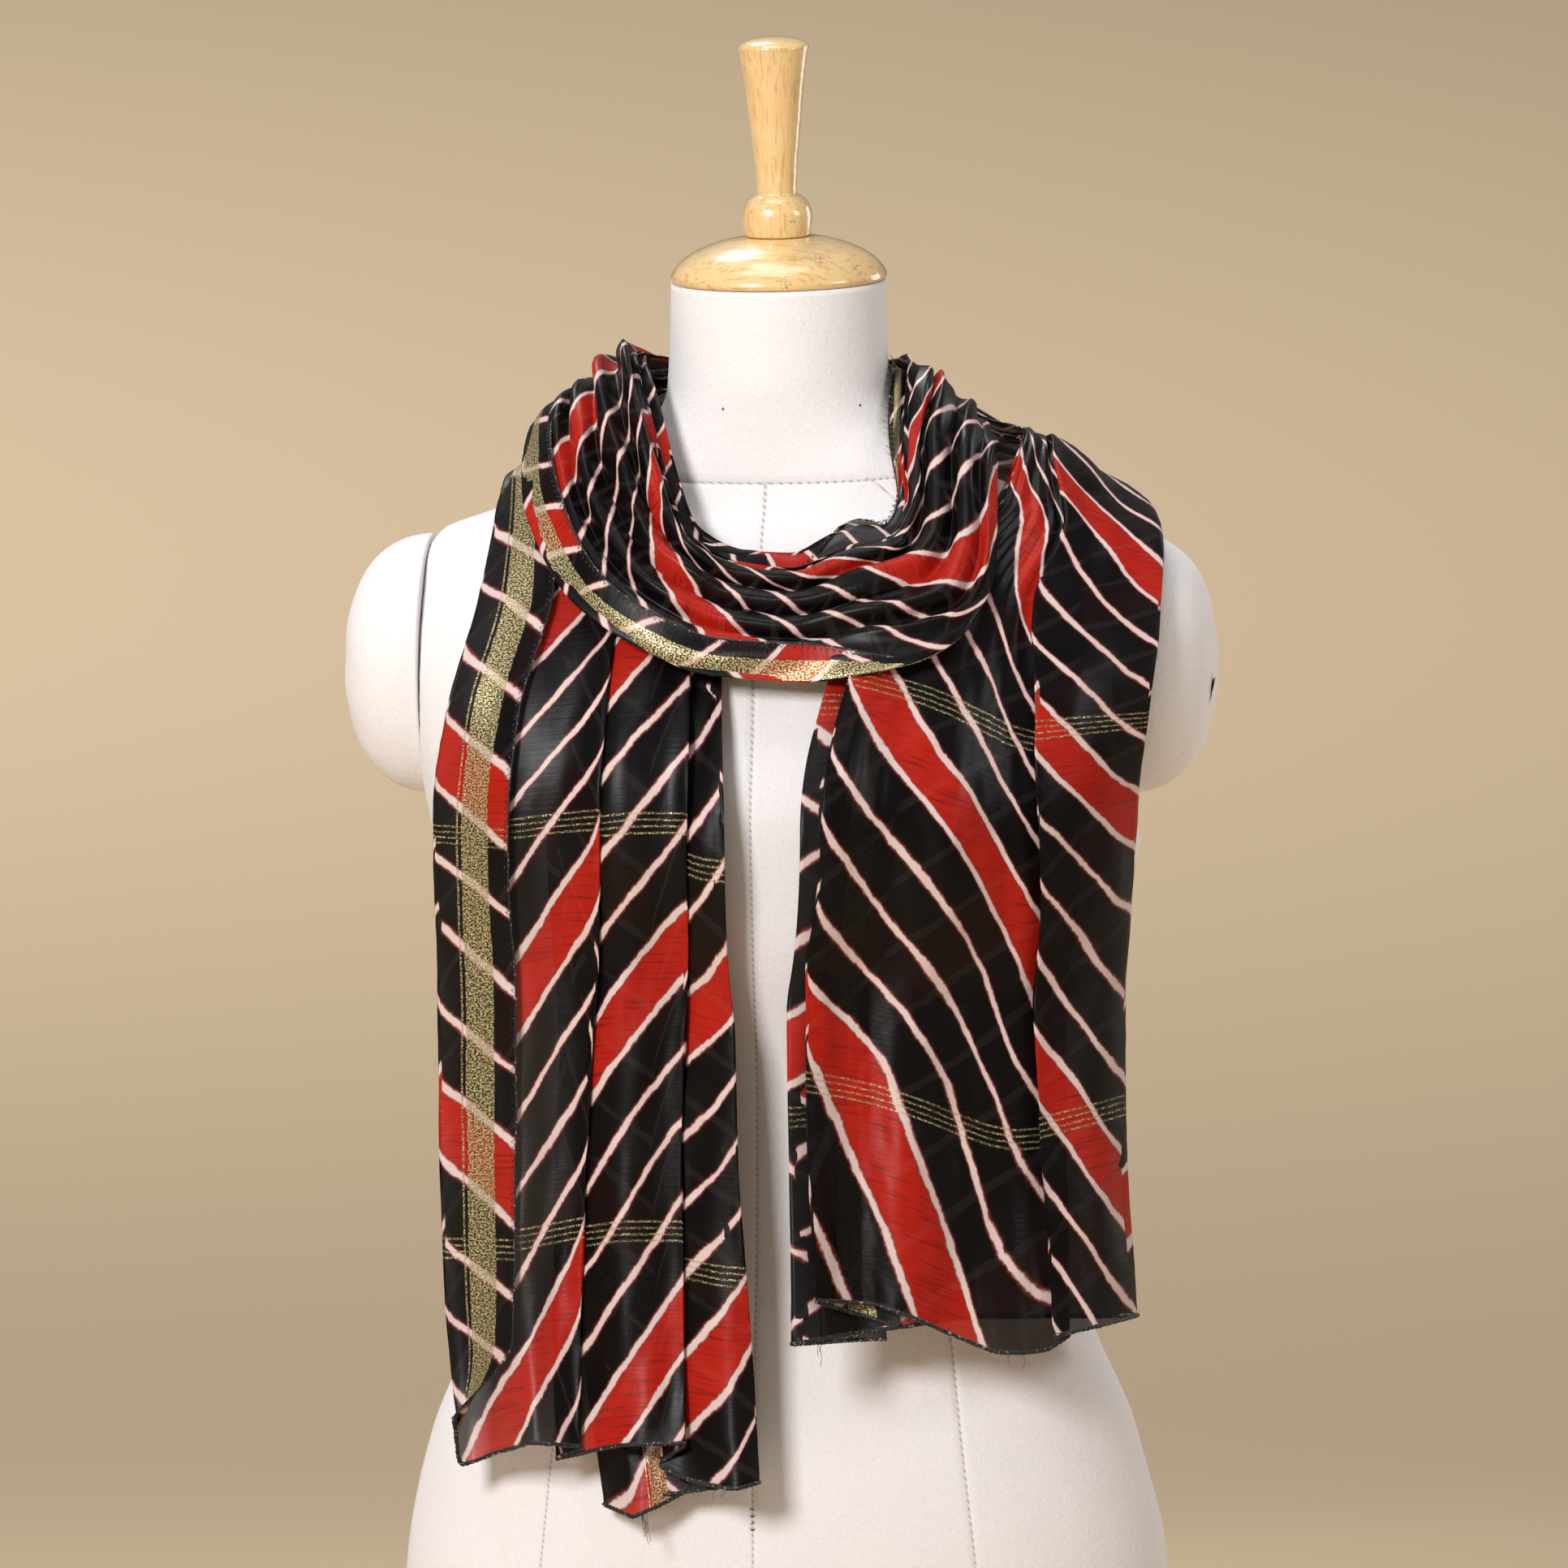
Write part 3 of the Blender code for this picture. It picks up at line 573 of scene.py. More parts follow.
# ------------------------------------------------------------------- the turned top
# A shallow domed disc covers the cut neck; a handle with a ball at its foot is doweled
# into it.  Both are light softwood turned on a lathe and brushed with clear varnish, which
# has yellowed and is scratched and knocked along the disc's front.
DISC = np.array([
    # height over the neck's top, radius
    (0.0000, 0.0552), (0.0003, 0.0558), (0.0012, 0.0565), (0.0024, 0.0567), (0.0040, 0.0563),
    (0.0060, 0.0551), (0.0092, 0.0526), (0.0120, 0.0494), (0.0145, 0.0457), (0.0170, 0.0407),
    (0.0190, 0.0358), (0.0207, 0.0302), (0.0220, 0.0250), (0.0229, 0.0196), (0.0231, 0.0180),
])
HANDLE = np.array([
    (0.0233, 0.0160), (0.0235, 0.0167), (0.0244, 0.0172), (0.0262, 0.0175), (0.0290, 0.0180),
    (0.0320, 0.0183), (0.0352, 0.0182), (0.0380, 0.0175), (0.0404, 0.0164), (0.0424, 0.0150),
    (0.0440, 0.0131), (0.0449, 0.0114), (0.0452, 0.0105), (0.0456, 0.0103), (0.0560, 0.0108),
    (0.0700, 0.0121), (0.0850, 0.0137), (0.1000, 0.0152), (0.1120, 0.0168), (0.1208, 0.0182),
    (0.1222, 0.0185), (0.1228, 0.0186), (0.1233, 0.0184), (0.1240, 0.0176), (0.1252, 0.0155),
    (0.1264, 0.0120), (0.1272, 0.0080), (0.1277, 0.0040),
])
TURNED_RINGS = 150
TURNED_SIDES = 192


def turned_piece(profile, seed):
    """Rings round the tilted axis: heights evenly spaced along the profile's length, radii
    from its smooth curve, with the lathe's faint waviness.  Gives the points standing on
    the neck, and the same points in the lathe's own axes."""
    length = np.concatenate([[0], np.cumsum(np.hypot(*np.diff(profile, axis=0).T))])
    knots = np.column_stack([length, profile])
    high, radius = through(knots, np.linspace(0, length[-1], TURNED_RINGS)).T
    shut = np.array([0.0, 0.5, 0.95])
    high = np.concatenate([0 * shut + high[0], high, 0 * shut + high[-1]])
    radius = np.concatenate([shut * radius[0], radius, shut[::-1] * radius[-1]])
    angle = np.linspace(0, 2 * pi, TURNED_SIDES, endpoint=False)
    wavy = 0.00005 * relief(angle * 0.02 + 0 * high[:, None], high[:, None],
                            waves(seed, 5, 0.004, 0.02, 1.5))
    radius = radius[:, None] + wavy * (radius[:, None] > 0.004)
    lathe = np.stack([radius * np.cos(angle), radius * np.sin(angle),
                      high[:, None] + 0 * radius], axis=-1)
    x, y, z = lathe[..., 0], lathe[..., 1], lathe[..., 2] + SEAT_GAP
    c, s = cos(CAP_TILT), sin(CAP_TILT)
    return turned(np.stack([x - 0.001, c * y - s * z, s * y + c * z + NECK_TOP], -1)), lathe


def varnished_pine(name, grain_size, knocked):
    """Light pine, turned and varnished: honey with brown growth lines along the grain and
    short dark pores, a clear glossy coat, brown scuffs where the coat is broken."""
    material, node, shader = new_material(name, Roughness=0.42, Coat_Weight=0.85,
                                          Coat_Roughness=0.09, Coat_IOR=1.5)
    lathe = node("Attribute", out=1, attribute_name="lathe")
    lines = node("Mapping", {"Vector": lathe, "Scale": grain_size})
    growth = node("TexNoise", {"Vector": lines, "Scale": 1.0, "Detail": 3.0, "Distortion": 0.2})
    mottle = node("TexNoise", {"Vector": lathe, "Scale": 55.0, "Detail": 4.0})
    pores = node("Mapping", {"Vector": lathe, "Scale": (1500, 1500, 120)})
    pores = node("TexNoise", {"Vector": pores, "Scale": 1.0, "Detail": 2.0})
    dark_line = node("MapRange", (growth, 0.52, 0.66, 0.0, 0.65), interpolation_type="SMOOTHSTEP")
    pore = node("MapRange", (pores, 0.64, 0.74, 0.0, 0.45))
    colour = node("Mix", {0: mottle, 6: linear("#F5D7A1"), 7: linear("#E6BC7B")},
                  out=2, data_type="RGBA")
    colour = node("Mix", {0: dark_line, 6: colour, 7: linear("#CE9F60")}, out=2,
                  data_type="RGBA")
    colour = node("Mix", {0: pore, 6: colour, 7: linear("#8A5F30")}, out=2, data_type="RGBA")
    # knocks: broken varnish in patches round a few places
    chips = node("TexNoise", {"Vector": lathe, "Scale": 520.0, "Detail": 5.0,
                              "Roughness": 0.75, "Distortion": 1.2})
    worn = 0.0
    for centre, reach in knocked:
        away = node("VectorMath", (lathe, centre), out=1, operation="DISTANCE")
        patch = node("MapRange", (away, 0.0, reach, 0.17, 0.0))
        worn = node("Math", (worn, patch), operation="MAXIMUM")
    chip = node("Math", (chips, worn), operation="ADD")
    chip = node("MapRange", (chip, 0.70, 0.76))
    colour = node("Mix", {0: chip, 6: colour, 7: linear("#5B4026")}, out=2, data_type="RGBA")
    rough = node("MapRange", (chip, 0.0, 1.0, 0.34, 0.85))
    dent = node("Math", (chip, -1.0, growth), operation="MULTIPLY_ADD")
    bump = node("Bump", {"Height": dent, "Strength": 0.25, "Distance": 0.0003})
    feed(shader, Base_Color=colour, Roughness=rough, Normal=bump)
    return material


# the grain runs up the handle and across the disc; growth lines about 2 mm apart
for name, cad_node, profile, grain_size, knocked in (
        ("domed_disc", "neck_cap", DISC, (60, 420, 420),
         (((0.026, -0.036, 0.013), 0.020), ((0.010, -0.040, 0.014), 0.016),
          ((0.012, -0.055, 0.004), 0.012), ((-0.020, -0.050, 0.004), 0.010),
          ((0.045, -0.028, 0.009), 0.014))),
        ("handle", "finial", HANDLE, (620, 620, 9),
         (((0.009, -0.015, 0.033), 0.007), ((0.004, -0.016, 0.041), 0.005),
          ((0.014, -0.011, 0.040), 0.005), ((-0.008, -0.008, 0.052), 0.004)))):
    points, lathe = turned_piece(profile, 31 + len(name))
    piece = surface_mesh(name, varnished_pine("varnished_pine_" + name, grain_size, knocked),
                         points, vectors={"lathe": lathe})
    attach(piece, "root")
    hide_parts(cad_node)

# ------------------------------------------------------------------------- the stole
# One length of sheer silk, rolled on the bias and tied before each dye bath, which leaves
# pale lines where the thread held it, with gold thread woven in along both selvedges and
# in four groups across.  It is pleated by hand lengthwise and wrapped once round the neck.
STOLE_WIDE = 0.480
CLEAR = 0.0019                   # from the form's surface to the lowest layer
PATH = np.array([
    # along   outer x      y       z       inner x      y       z    lifts (mm)
    (0.000, -0.1670, -0.030, 0.1110, -0.0090, -0.030, 0.1060, 9, 9),
    (0.082, -0.1768, -0.030, 0.1920, -0.0140, -0.030, 0.1920, 5, 6),
    (0.166, -0.1800, -0.030, 0.2760, -0.0200, -0.030, 0.2760, 3, 4),
    (0.252, -0.1810, -0.032, 0.3610, -0.0215, -0.032, 0.3610, 2, 2),
    (0.338, -0.1790, -0.040, 0.4460, -0.0170, -0.060, 0.4460, 0, 0),
    (0.386, -0.1710, -0.038, 0.4920, -0.0200, -0.060, 0.4920, 0, 0),
    (0.438, -0.1560, -0.032, 0.5400, -0.0280, -0.050, 0.5450, 0, 0),
    (0.470, -0.1490, -0.024, 0.5680, -0.0450, -0.036, 0.5850, 0, 0),
    (0.508, -0.1380, -0.006, 0.5980, -0.0520, -0.018, 0.6300, 0, 0),
    (0.545, -0.1250, 0.028, 0.6050, -0.0530, 0.016, 0.6550, 0, 0),
    (0.595, -0.0900, 0.052, 0.6050, -0.0380, 0.036, 0.6640, 0, 0),
    (0.670, 0.0000, 0.056, 0.6050, 0.0000, 0.048, 0.6720, 0, 0),
    (0.740, 0.0860, 0.046, 0.6080, 0.0400, 0.030, 0.6760, 0, 0),
    (0.790, 0.1020, 0.012, 0.6300, 0.0520, -0.002, 0.6760, 3, 0),
    (0.835, 0.1040, -0.032, 0.6120, 0.0530, -0.028, 0.6420, 9, 0),
    (0.880, 0.1020, -0.040, 0.5600, 0.0560, -0.040, 0.6080, 14, 1),
    (0.925, 0.0880, -0.050, 0.5220, 0.0480, -0.040, 0.5880, 19, 4),
    (0.965, 0.0560, -0.060, 0.5010, 0.0300, -0.042, 0.5860, 19, 5),
    (1.010, 0.0120, -0.064, 0.4950, 0.0060, -0.044, 0.5730, 10, 5),
    (1.055, -0.0320, -0.062, 0.4980, -0.0170, -0.042, 0.5740, 12, 8),
    (1.100, -0.0720, -0.054, 0.5150, -0.0370, -0.038, 0.5840, 18, 14),
    (1.142, -0.1040, -0.040, 0.5420, -0.0450, -0.030, 0.6080, 19, 15),
    (1.185, -0.1220, -0.018, 0.5880, -0.0500, -0.016, 0.6380, 19, 15),
    (1.225, -0.1180, 0.010, 0.6180, -0.0520, 0.006, 0.6560, 18, 15),
    (1.275, -0.1000, 0.050, 0.6080, -0.0420, 0.030, 0.6640, 17, 14),
    (1.350, -0.0200, 0.058, 0.6050, -0.0080, 0.050, 0.6760, 16, 14),
    (1.420, 0.0700, 0.056, 0.6050, 0.0380, 0.032, 0.6740, 16, 15),
    (1.475, 0.1500, 0.030, 0.5980, 0.0960, 0.022, 0.6280, 12, 19),
    (1.515, 0.1830, -0.004, 0.5900, 0.1120, -0.010, 0.6180, 7, 19),
    (1.555, 0.1870, -0.022, 0.5650, 0.1010, -0.036, 0.5940, 3, 4),
    (1.595, 0.1870, -0.030, 0.5350, 0.0460, -0.050, 0.5640, 0, 0),
    (1.640, 0.1830, -0.034, 0.5000, 0.0120, -0.060, 0.5150, 0, 0),
    (1.700, 0.1800, -0.034, 0.4460, -0.0070, -0.060, 0.4460, 1, 1),
    (1.790, 0.1805, -0.030, 0.3610, -0.0015, -0.032, 0.3610, 2, 2),
    (1.875, 0.1815, -0.030, 0.2760, 0.0010, -0.030, 0.2760, 4, 4),
    (1.965, 0.1870, -0.030, 0.1860, 0.0020, -0.030, 0.1820, 8, 8),
])
HANG_FROM = (0.335, 1.70)        # the two panels hang free below these places
ROWS = 480                       # sections along the cloth, 4 mm apart

# Fifteen lines run the length of the cloth, from the selvedge of the folded-over border
# (0) to the other selvedge (14).  Each section of the bundle gives for every line its
# place across (outer edge 0, inner edge 1) and its height off the form in mm.  How far
# across the flat cloth it lies, in 500ths of its width, differs by panel and loop.
LEFT_FLAT = [0, 38, 93, 148, 172, 217, 262, 286, 308, 330, 352, 446, 462, 480, 500]
COWL_FLAT = [0, 24, 52, 68, 96, 112, 140, 156, 184, 200, 232, 310, 372, 436, 500]
RIGHT_FLAT = [0, 38, 68, 98, 126, 154, 178, 200, 220, 238, 262, 322, 392, 462, 500]
LEFT_HEIGHT = [19.0, 15.0, 13.0, 10.5, 8.5, 8.8, 6.5, 4.8, 4.6, 4.2, 3.2, 1.2, 0.6, 0.3, 0]
RIGHT_HEIGHT = [4.0, 7.6, 10.0, 11.0, 11.2, 11.0, 10.2, 9.0, 7.6, 6.6, 16.0, 6.0, 2.0, 0.8, 0]
UNDER_HEIGHT = [3.0, 4.5, 6.0, 6.5, 6.8, 6.8, 6.6, 6.2, 5.8, 5.6, 11.0, 5.0, 2.0, 0.8, 0]
SECTIONS = [
    # along, places, heights
    (0.000, [.00, .00, .24, .42, .31, .55, .77, .65, .75, .90, 1.0, .46, .56, .64, .76],
     [25, 18, 22, 14, 8, 15, 12, 4, 9, 12, 4, 0, 7, 4, 0]),
    (0.060, [.23, .00, .26, .46, .34, .58, .79, .67, .77, .90, 1.0, .44, .54, .62, .72],
     [22, 17, 16, 12, 8, 12, 8, 4, 7, 7, 3, 0.6, 3, 1, 0]),
    (0.180, [.27, .00, .27, .53, .39, .61, .83, .70, .80, .91, 1.0, .42, .50, .58, .70],
     LEFT_HEIGHT),
    (0.380, [.29, .00, .29, .61, .43, .66, .89, .73, .83, .92, 1.01, .38, .48, .58, .70],
     LEFT_HEIGHT),
    (0.460, [.36, .00, .32, .62, .43, .66, .90, .72, .81, .91, 1.02, .20, .38, .56, .72],
     LEFT_HEIGHT),
    (0.560, [.40, .00, .20, .40, .28, .48, .66, .54, .68, .82, .98, .04, .40, .75, .97],
     [12, 10, 9.5, 8.5, 7.5, 7, 6, 5, 4.5, 4, 3, 1, .5, .2, 0]),
    (0.740, [.40, .00, .22, .42, .28, .50, .68, .54, .70, .84, .98, .04, .40, .75, .97],
     [13, 10, 11, 8, 8, 9, 7, 5, 6, 4, 3, 1, .5, .2, 0]),
    (0.820, [.14, .00, .10, .18, .40, .44, .66, .70, .80, .84, .94, .04, .38, .72, 1.00],
     [2, 5, 12, 8, 17, 8, 18, 8, 15, 8, 9, 3, 2, 1, 0]),
    (0.900, [.16, .00, .12, .18, .42, .46, .70, .74, .86, .86, .92, .04, .38, 0.97, .96],
     [3, 7, 14, 8, 18, 9, 18, 9, 17, 9, 9, 3, 2, 1, 0]),
    (0.950, [.03, .00, .22, .28, .45, .49, .67, .70, .82, .82, .86, .04, .38, .98, 1.04],
     [8, 8.5, 15, 8.5, 17, 9, 17, 8.5, 15, 8, 9, 3, 2, 1, 0]),
    (1.010, [.27, .00, .30, .33, .48, .50, .66, .67, .82, .81, .86, .04, .38, 1.00, .84],
     [17.5, 9, 15, 9, 17, 9, 17, 8, 15, 8, 9, 3, 2, 1, 0]),
    (1.100, [.26, .00, .30, .35, .50, .54, .70, .73, .86, .85, .90, .04, .38, 1.00, .80],
     [17, 8, 15, 8, 16, 8, 18, 8, 17, 7, 8, 3, 2, 1, 0]),
    (1.200, [.28, .00, .32, .38, .50, .56, .70, .76, .92, .86, .94, .04, .38, 1.00, .80],
     [15, 8, 14, 6, 14, 6, 19, 6, 20, 5, 7, 3, 2, 1, 0]),
    (1.300, [.76, .78, .80, .82, .84, .86, .88, .90, .92, .94, .97, .03, .38, .72, .97],
     [14, 13.6, 13.2, 12.8, 12.4, 12, 11.6, 11, 10.4, 9.6, 8, 3, 2, 1, 0]),
    (1.345, [.97, .97, .97, .97, .97, .97, .97, .97, .97, .97, .96, .03, .38, .72, .96],
     [22, 20.4, 18.8, 17.2, 15.6, 14, 12.4, 11, 9.6, 8.2, 6.6, 3, 2, 1, 0]),
    (1.400, [1.02, .95, .88, .81, .74, .67, .60, .53, .46, .38, .28, .02, .38, .72, .96],
     [7.5, 7.5, 7.5, 7.5, 7.5, 7.5, 7.5, 7.5, 7.2, 7, 9.5, 4, 2, 1, 0]),
    (1.455, [.92, .97, .90, .84, .78, .72, .66, .60, .56, .52, .48, .01, .42, .86, .88],
     [4.4, 7.4, 8, 8, 8, 8, 8, 7.6, 7.2, 6.8, 11, 6, 2.5, 2.6, 0]),
    (1.520, [.84, .98, .94, .90, .85, .80, .75, .70, .65, .60, .80, .00, .45, .98, .84],
     UNDER_HEIGHT),
    (1.560, [.78, .96, .90, .83, .75, .66, .59, .52, .46, .40, .60, .00, .48, 1.0, .78],
     UNDER_HEIGHT),
    (1.600, [.74, .95, .86, .77, .67, .57, .49, .42, .34, .26, .47, .00, .50, 1.0, .76],
     RIGHT_HEIGHT),
    (1.640, [.72, .94, .84, .74, .63, .52, .43, .35, .28, .20, .38, .00, .50, 1.0, .74],
     RIGHT_HEIGHT),
    (1.700, [.72, .94, .84, .74, .63, .52, .42, .34, .26, .18, .33, .00, .50, 1.0, .74],
     RIGHT_HEIGHT),
    (1.880, [.72, .94, .84, .74, .63, .52, .42, .34, .26, .18, .27, .00, .50, 1.0, .74],
     RIGHT_HEIGHT),
    (1.965, [.68, .92, .84, .74, .63, .52, .42, .34, .27, .20, .26, .00, .50, 1.0, .72],
     [4, 6, 8, 10, 7, 10, 14, 16, 12, 8, 14, 5, 1, 4, 0]),
]
LOOP = (0.50, 1.38)              # the loop round the neck lies between these places
FLATS = [LEFT_FLAT if at < LOOP[0] else COWL_FLAT if at < LOOP[1] else RIGHT_FLAT
         for at, _, _ in SECTIONS]
# how much lower each line hangs in the two panels, mm, and how much more right at the hem
DROP_LEFT = [0, 0, -5, -12, -4, -10, -10, 4, 9, 13, 14, 14, 14, 12, 10]
HEM_LEFT = [-22, 4, -6, 2, 2, -2, -4, -6, -4, -4, -10, 6, 12, 8, 0]
DROP_RIGHT = [-6, -15, -12, -8, -2, 6, 13, 16, 15, 10, 10, -2, 0, 4, 0]
HEM_RIGHT = [8, 2, 0, -2, 0, 2, 3, 1, 1, -2, -1, 2, -2, 5, 8]
PUFF = [0, 0, 1, 5, 0, 5, 0, 5, 0, 0, 0, 0, 0, 0]    # round the neck the folds bulge, mm
COLUMN_WIDE = 0.0034             # the columns stand about this far apart on the cloth


def blurred(values, spread, axis):
    """The values averaged with their neighbours along one axis, weighted by a bell curve
    whose spread is in samples; past the ends the end value is repeated, turned over."""
    reach = int(np.ceil(3 * spread))
    weights = np.exp(-0.5 * (np.arange(-reach, reach + 1) / spread) ** 2)
    weights /= weights.sum()
    values = np.moveaxis(values, axis, 0)
    head = 2 * values[:1] - values[reach:0:-1]
    tail = 2 * values[-1:] - values[-2:-reach - 2:-1]
    padded = np.concatenate([head, values, tail])
    out = sum(w * padded[i:i + len(values)] for i, w in enumerate(weights))
    return np.moveaxis(out, 0, axis)


def body_height(base, normal):
    """How far out along the normal the form's surface lies, from a base inside it: steps
    of 4, 1 and 0.25 mm outward as long as the point stays inside the form."""
    far = np.zeros(base.shape[:-1])
    for step in (0.004, 0.001, 0.00025):
        for _ in range(48):
            inside = in_form(base + normal * (far + step)[..., None]) < 1.0
            if not inside.any():
                break
            far = np.where(inside, far + step, far)
    return far


def stole_surface(along, counts):
    """The cloth.  Each section lies in the plane of the bundle's edges and of the outward
    direction; a point is the outer edge, plus its place across, plus outward the form's
    height there, the lift and its own height.  Gives the points and the distance across
    the flat cloth of each."""
    row_wide = along[1] - along[0]
    path = through(PATH, along)
    outer, inner, lift = path[:, 0:3], path[:, 3:6], path[:, 6:8] * 0.001
    middle = 0.5 * (outer + inner)
    across = inner - outer
    forward = unit(blurred(unit(np.gradient(middle, along, axis=0)), 0.014 / row_wide, 0))
    normal = unit(blurred(unit(np.cross(across, forward)), 0.014 / row_wide, 0))

    grid = np.linspace(0, 1, 33)
    base = outer[:, None] + across[:, None] * grid[:, None]
    far = body_height(base, normal[:, None] + 0 * base)
    chord = far[:, :1] * (1 - grid) + far[:, -1:] * grid
    chord = chord + np.max(far - chord, axis=1, keepdims=True)
    loose = np.interp(along, [0.40, 0.50, 1.56, 1.66], [0.6, 1, 1, 0.6])[:, None]
    far = far + (chord - far) * loose
    far = np.maximum(blurred(far, 0.02 / row_wide, 0), far) + CLEAR
    left = along < HANG_FROM[0]
    right = along > HANG_FROM[1]
    far[left] = np.maximum.accumulate(far[left][::-1], axis=0)[::-1]
    far[right] = np.maximum.accumulate(far[right], axis=0)
    far = blurred(blurred(far, 0.012 / row_wide, 0), 1.0, 1)
    # the panels sway in long soft folds that open towards the hems
    wide = np.linalg.norm(across, axis=1)[:, None]
    sway = np.interp(along, [0, 0.15, 0.45, 0.6, 1.5, 1.65, 1.85, 1.965],
                     [6, 3, 1.5, 0, 0, 1.5, 3, 7])[:, None] * 0.001
    far = far + sway * (1 + relief(grid * wide, along[:, None], waves(3, 5, 0.05, 0.09, 0.1)))

    table = np.array([(at, *places, *heights, *flats)
                      for (at, places, heights), flats in zip(SECTIONS, FLATS)])
    lines = through(table, along).reshape(len(along), 3, -1)
    place, height = lines[:, 0], lines[:, 1] * 0.001
    flat = lines[:, 2] * STOLE_WIDE / lines[:, 2, -1:]
    near_left = np.interp(along, [0.34, 0.50], [1, 0])[:, None]
    at_left = np.interp(along, [0.0, 0.10], [1, 0])[:, None] ** 1.5
    near_right = np.interp(along, [1.54, 1.66], [0, 1])[:, None]
    at_right = np.interp(along, [1.865, 1.965], [0, 1])[:, None] ** 1.5
    drop = (np.array(DROP_LEFT) * near_left + np.array(HEM_LEFT) * at_left
            - np.array(DROP_RIGHT) * near_right - np.array(HEM_RIGHT) * at_right) * 0.001

    four = np.stack([place, height, flat, drop], axis=-1)
    puffed = np.interp(along, [0.78, 0.84, 1.20, 1.28], [0, 1, 1, 0])[:, None] * 0.001
    columns = [four[:, 0]]
    for span, count in enumerate(counts):
        t = (np.arange(count) + 1)[:, None] / count
        added = four[:, span, None] * (1 - t) + four[:, span + 1, None] * t
        added[..., 1] += PUFF[span] * puffed * np.sin(pi * t[:, 0])
        columns.extend(np.moveaxis(added, 1, 0))
    a, d, flat, low = np.moveaxis(np.array(columns), 0, 1).transpose(2, 0, 1)
    a, d, low = (blurred(part, 1.15, 1) for part in (a, d, low))

    fine = np.clip(a, 0, 1) * (len(grid) - 1)
    k = np.clip(np.floor(fine).astype(int), 0, len(grid) - 2)
    f = fine - k
    rows = np.arange(len(along))[:, None]
    ground = far[rows, k] * (1 - f) + far[rows, k + 1] * f
    rise = ground + lift[:, :1] * (1 - a) + lift[:, 1:] * a + d
    points = (outer[:, None] + across[:, None] * a[..., None]
              + normal[:, None] * rise[..., None] - forward[:, None] * low[..., None])
    return points, flat


# each span between two lines has its own number of columns, by its widest place
span_flat = np.max(np.diff(FLATS, axis=1), axis=0) * 0.001
span_columns = np.round(span_flat / COLUMN_WIDE).astype(int)
stole_along = np.linspace(0, PATH[-1, 0], ROWS)
stole_points, stole_u = stole_surface(stole_along, span_columns)
# the distance along the flat cloth is the mean over its columns, without the selvedges
steps = np.linalg.norm(np.diff(stole_points, axis=0), axis=-1)
stole_v = np.concatenate([[0.0], np.cumsum(steps[:, 12:110].mean(axis=1))])
STOLE_LONG = round(float(stole_v[-1]), 2)
stole_v = (stole_v * STOLE_LONG / stole_v[-1])[:, None] + 0 * stole_u

# fine slack in the cloth, along its length
in_loop = np.interp(stole_along, [0.40, 0.55, 1.50, 1.62], [0, 1, 1, 0])[:, None]
soft = relief(stole_u, stole_v, waves(11, 7, 0.024, 0.060, 0.6))
crisp = relief(stole_u, stole_v, waves(12, 7, 0.008, 0.018, 0.9))
stole_points = stole_points + grid_normals(stole_points) * (
    (0.0005 + 0.0005 * in_loop) * soft + 0.00013 * crisp)[..., None]

# ------------------------------------------------------------- the stole's dye and gold
# The cloth is rolled slantwise and tied hard at even steps, then dipped: scarlet first,
# then black over four bands in five, which are tied off again for it.
DYE_BAND = 0.0392                # along the cloth from one tied line to the next
TIED_WIDE = 0.0050               # a pale line left by the tying thread
# how far the bands fall along the cloth by the distance across it, m, in each panel: more
# where the roll was creased before tying
DYE_FALL_LEFT = ([0.0, 0.034, 0.089, 0.138, 0.170, 0.247, 0.254, 0.278, 0.336, 0.48],
                 [-0.072, -0.042, 0.018, 0.080, 0.165, 0.243, 0.250, 0.192, 0.249, 0.364])
DYE_FALL_RIGHT = ([0.0, 0.036, 0.044, 0.100, 0.150, 0.186, 0.251, 0.295, 0.320, 0.48],
                  [-0.045, -0.006, 0.006, 0.045, 0.083, 0.125, 0.204, 0.273, 0.300, 0.430])
# how far the bands have crept along the cloth where the roll was tied tighter, m
DYE_CREEP = np.array([(0.0, 0.0), (0.47, 0.0), (0.70, 0.10), (0.90, 0.172), (0.98, 0.170),
                      (1.06, 0.140), (1.094, 0.1275), (1.13, 0.112), (1.175, 0.096),
                      (1.21, 0.072), (1.27, 0.045), (1.36, 0.040), (1.50, 0.090),
                      (1.60, 0.112), (1.683, 0.1065), (1.737, 0.082), (1.80, 0.069),
                      (1.87, 0.056), (1.93, 0.050), (2.00, 0.049), (2.30, 0.049)])
GOLD_BAND = (0.0095, 0.0215)     # from the selvedge: the woven gold band
GOLD_LINE = (0.0229, 0.0237)     # and the single gold line beside it
CROSS_GROUPS = (0.105, 0.318)    # from each end of the cloth: four gold lines across
CROSS_STEP = 0.0033


def dye_place(u, v):
    """How many tied lines lie before each place of the cloth: its distance along, less the
    fall for its distance across, less the creep and a slight sway, over one band."""
    share = np.clip((v - 0.55) / 0.95, 0, 1)
    fall = (1 - share) * np.interp(u, *DYE_FALL_LEFT) + share * np.interp(u, *DYE_FALL_RIGHT)
    # towards both ends the roll was wound more steeply
    fall = fall + np.interp(v, [0.08, 0.28], [1, 0]) * np.interp(
        u, [0.05, 0.142, 0.252, 0.338, 0.48], [0, -0.018, 0, 0.023, 0.03])
    fall = fall + np.interp(v, [2.05, 2.18], [0, 0.07]) * np.interp(u, [0.17, 0.25], [1, 0])
    sway = 0.0022 * relief(u, v, waves(41, 6, 0.06, 0.20, 1.5))
    return (v - blurred(fall, 1.5, 1) - through(DYE_CREEP, v)[..., 0] + sway) / DYE_BAND


